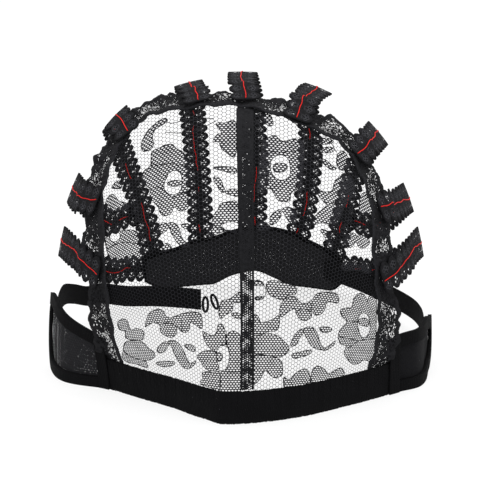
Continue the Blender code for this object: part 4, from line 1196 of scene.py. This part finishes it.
def make_tape(name, node, ways, coarse_trim, end_lift, cloth, red, seed):
    """Scalloped lace tape with its red stitch line."""
    ways = np.array(ways, float)
    points = list(on_form(aim(ways[:, 0], ways[:, 1])))
    if name.startswith("low"):
        ahead = points[-1] - points[-2]
        points.append(points[-1] + unit(ahead) * LOW_TAPE_RUN)
    path, length = smooth_path(points, pitch=TAPE_DETAIL)
    reach = (TRIM_WIDTH + TAPE_PITCH) / 2

    def lift_at(run, across, targets):
        gaps = targets[..., None, :] - coarse_trim
        from_trim = np.sqrt((gaps * gaps).sum(-1)).min(-1)
        start = 1 - ease((from_trim - reach) / TAPE_STEP)
        end = 1 - ease((length * (1 - run) - TAPE_LAP) / TAPE_STEP)
        place = run * length
        puff = (PUFFS.get(node, 0.0) * ease(place / PUFF_RISE)
                * (1 - ease((place - PUFF_HOLD) / PUFF_FADE)))
        return (LAYER_GAP + (OVER_TRIM_LIFT - LAYER_GAP) * start + (end_lift - LAYER_GAP) * end
                + TAPE_FLOAT + puff)

    def edge_at(run, across):
        place = run * length
        fall = (2 * np.abs((place / SCALLOP_PITCH) % 1 - 0.5)) ** SCALLOP_POWER
        teeth = 0.5 + 0.5 * np.cos(2 * pi * place / TOOTH_PITCH)
        dip = (SCALLOP_DEPTH * fall + TOOTH_DEPTH * teeth) * 2 / TAPE_WIDTH
        return TAPE_FULL - dip * ease((np.abs(across) - SCALLOP_FROM) / SCALLOP_OVER)

    places, offsets = strip_places(path, TAPE_WIDTH, 20, lift_at, edge_at)
    sheet_from(name, places, strip_flat(offsets, length), cloth, node,
               TAPE_THICKNESS)
    steps = np.arange(len(path))
    wave = hash_noise(steps * 0.107, 0.0, seed) * STITCH_WAVE
    drift = hash_noise(steps * 0.023, 0.0, seed + 3.3) * STITCH_DRIFT
    side = unit(np.cross(path, np.gradient(path, axis=0)))
    line = path + side * (wave + drift)[:, None]
    lift = lift_at(np.linspace(0, 1, len(path))[None, :], 0.0, line[None])[0]
    dash = STITCH_DASH * np.sin(steps * 1.07)
    outer = on_form(line, lift + STITCH_OUT + dash)[1:-1]
    hidden = STITCH_HIDDEN * (hash_noise(steps * 0.06, 1.0, seed + 1.9) > -0.05)
    inner = on_form(line, lift + STITCH_IN + dash * 0.5 + hidden)[1:-1]
    thread_piece(name + "_stitch", [outer[::2], inner[::2]], STITCH_WIRE, red)


def make_tapes(coarse_trim):
    """All nine lace tapes."""
    cloth = tape_material()
    red = stitch_material()
    over_tape = LAYER_GAP + TAPE_WALL + LAYER_GAP
    jobs = [(f"crown_lace_tape_{k}", f"crown_tape_{k}", ways, OVER_BINDING_LIFT)
            for k, ways in enumerate(CROWN_TAPES, start=1)]
    jobs.append(("high_lace_tape_left", "side_tape_high_left", HIGH_TAPE_LEFT, over_tape))
    jobs.append(("high_lace_tape_right", "side_tape_high_right", HIGH_TAPE_RIGHT, over_tape))
    jobs.append(("low_lace_tape_left", "side_tape_low_left", LOW_TAPE_LEFT, OVER_BINDING_LIFT))
    jobs.append(("low_lace_tape_right", "side_tape_low_right", LOW_TAPE_RIGHT, OVER_BINDING_LIFT))
    for seed, (name, node, ways, end_lift) in enumerate(jobs, start=1):
        make_tape(name, node, ways, coarse_trim, end_lift, cloth, red, float(seed))


def make_strap(name, node, lows, highs, knit):
    """Elastic strap between its edge points."""
    low, _ = smooth_path(lows, pitch=DETAIL_PITCH * 2)
    high, _ = smooth_path(highs, count=len(low) - 1)
    rise = np.linspace(0, 1, 9)[:, None, None]
    ahead = np.gradient(low, axis=0)
    outward = unit(np.cross(ahead, high - low))
    outward *= np.sign((outward * low).sum(1, keepdims=True))
    places = low[None] + (high - low)[None] * rise + outward[None] * WALL_CLEAR
    cloth_piece(name, places, flat_map(places), knit, node, KNIT_THICKNESS)


def strap_edges(rows, side):
    """Edge points of a strap that lies inside the cap's wall."""
    rows = np.array(rows, float)
    height = EAR_TAB_HEIGHT * rows[:, 1]
    lift = -(STRAP_WALL + STRAP_GAP)
    return [list(near_rim(side * rows[:, 0], height + off, lift))
            for off in (-STRAP_WIDTH / 2, STRAP_WIDTH / 2)]


def make_straps(knit):
    """Right strap fastened at the nape, and loose left strap."""
    lows, highs = strap_edges(STRAP_ROWS_RIGHT, 1)
    make_strap("strap_elastic_right", "strap_right", lows, highs, knit)
    lows, highs = strap_edges(STRAP_ROWS_LEFT, -1)
    for across, back, height in STRAP_LOOSE:
        middle = np.array((across * CAP_WIDTH / 2, back * CAP_DEPTH / 2, height * EAR_TAB_HEIGHT))
        lows.append(middle - np.array((0, 0, STRAP_WIDTH / 2)))
        highs.append(middle + np.array((0, 0, STRAP_WIDTH / 2)))
    make_strap("strap_elastic_left", "strap_left", lows, highs, knit)


def facing(spot, target):
    """Turn of a lamp or camera at a spot that looks at a target."""
    return (target - spot).to_track_quat("-Z", "Y").to_euler()


def make_stage():
    """Pale floor, soft studio light and the camera."""
    mesh = bpy.data.meshes.new("floor")
    corners = [(x * FLOOR_REACH, y * FLOOR_REACH, 0)
               for x, y in ((-1, -1), (1, -1), (1, 1), (-1, 1))]
    mesh.from_pydata(corners, [], [(0, 1, 2, 3)])
    mesh.materials.append(stage_material())
    floor = bpy.data.objects.new("floor", mesh)
    floor.location.z = -FLOOR_DROP
    bpy.context.scene.collection.objects.link(floor)
    world = bpy.data.worlds.new("studio")
    world.use_nodes = True
    world.node_tree.nodes["Background"].inputs["Color"].default_value = WHITE
    world.node_tree.nodes["Background"].inputs["Strength"].default_value = 1.0
    bpy.context.scene.world = world
    for name, spot, power, size in LAMPS:
        light = bpy.data.lights.new(name, "AREA")
        light.energy = power
        light.size = size
        lamp = bpy.data.objects.new(name, light)
        lamp.location = spot
        lamp.rotation_euler = facing(Vector(spot), Vector(LAMP_TARGET))
        bpy.context.scene.collection.objects.link(lamp)
    rise = radians(VIEW_RISE)
    back = Vector((0.0, -cos(rise), sin(rise)))
    up = Vector((0.0, sin(rise), cos(rise)))
    target = Vector(VIEW_TARGET) + Vector(CAP_OFFSET)
    target += Vector((VIEW_ASIDE, 0.0, 0.0)) + up * VIEW_UP
    lens = bpy.data.cameras.new("view")
    lens.lens = FOCAL_LENGTH
    lens.sensor_width = SENSOR_WIDTH
    lens.clip_start = CLIP_START
    camera = bpy.data.objects.new("view", lens)
    camera.location = target + back * VIEW_DISTANCE
    camera.rotation_euler = facing(camera.location, target)
    bpy.context.scene.collection.objects.link(camera)
    bpy.context.scene.camera = camera
    bpy.context.scene.view_settings.view_transform = "Standard"


def dress_loops():
    """Gives the small cord loops their cloth."""
    knit = bpy.data.materials["knit_elastic_cloth"]
    for node in ("strap_loop_near", "strap_loop_far"):
        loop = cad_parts[node]
        loop.data.materials.clear()
        loop.data.materials.append(knit)


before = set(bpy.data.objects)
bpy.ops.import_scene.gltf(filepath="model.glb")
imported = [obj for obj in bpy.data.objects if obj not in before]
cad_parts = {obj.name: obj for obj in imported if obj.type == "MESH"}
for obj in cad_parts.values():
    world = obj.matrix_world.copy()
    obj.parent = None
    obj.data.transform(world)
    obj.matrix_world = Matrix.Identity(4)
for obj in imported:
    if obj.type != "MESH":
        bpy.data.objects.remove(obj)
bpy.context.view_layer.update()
knit_cloth = knit_material()
make_flower_lace()
trim_places = make_trim()
make_seam()
make_band(knit_cloth)
make_ear_tabs(knit_cloth)
make_nape(knit_cloth)
make_tapes(trim_places)
make_straps(knit_cloth)
dress_loops()
make_stage()
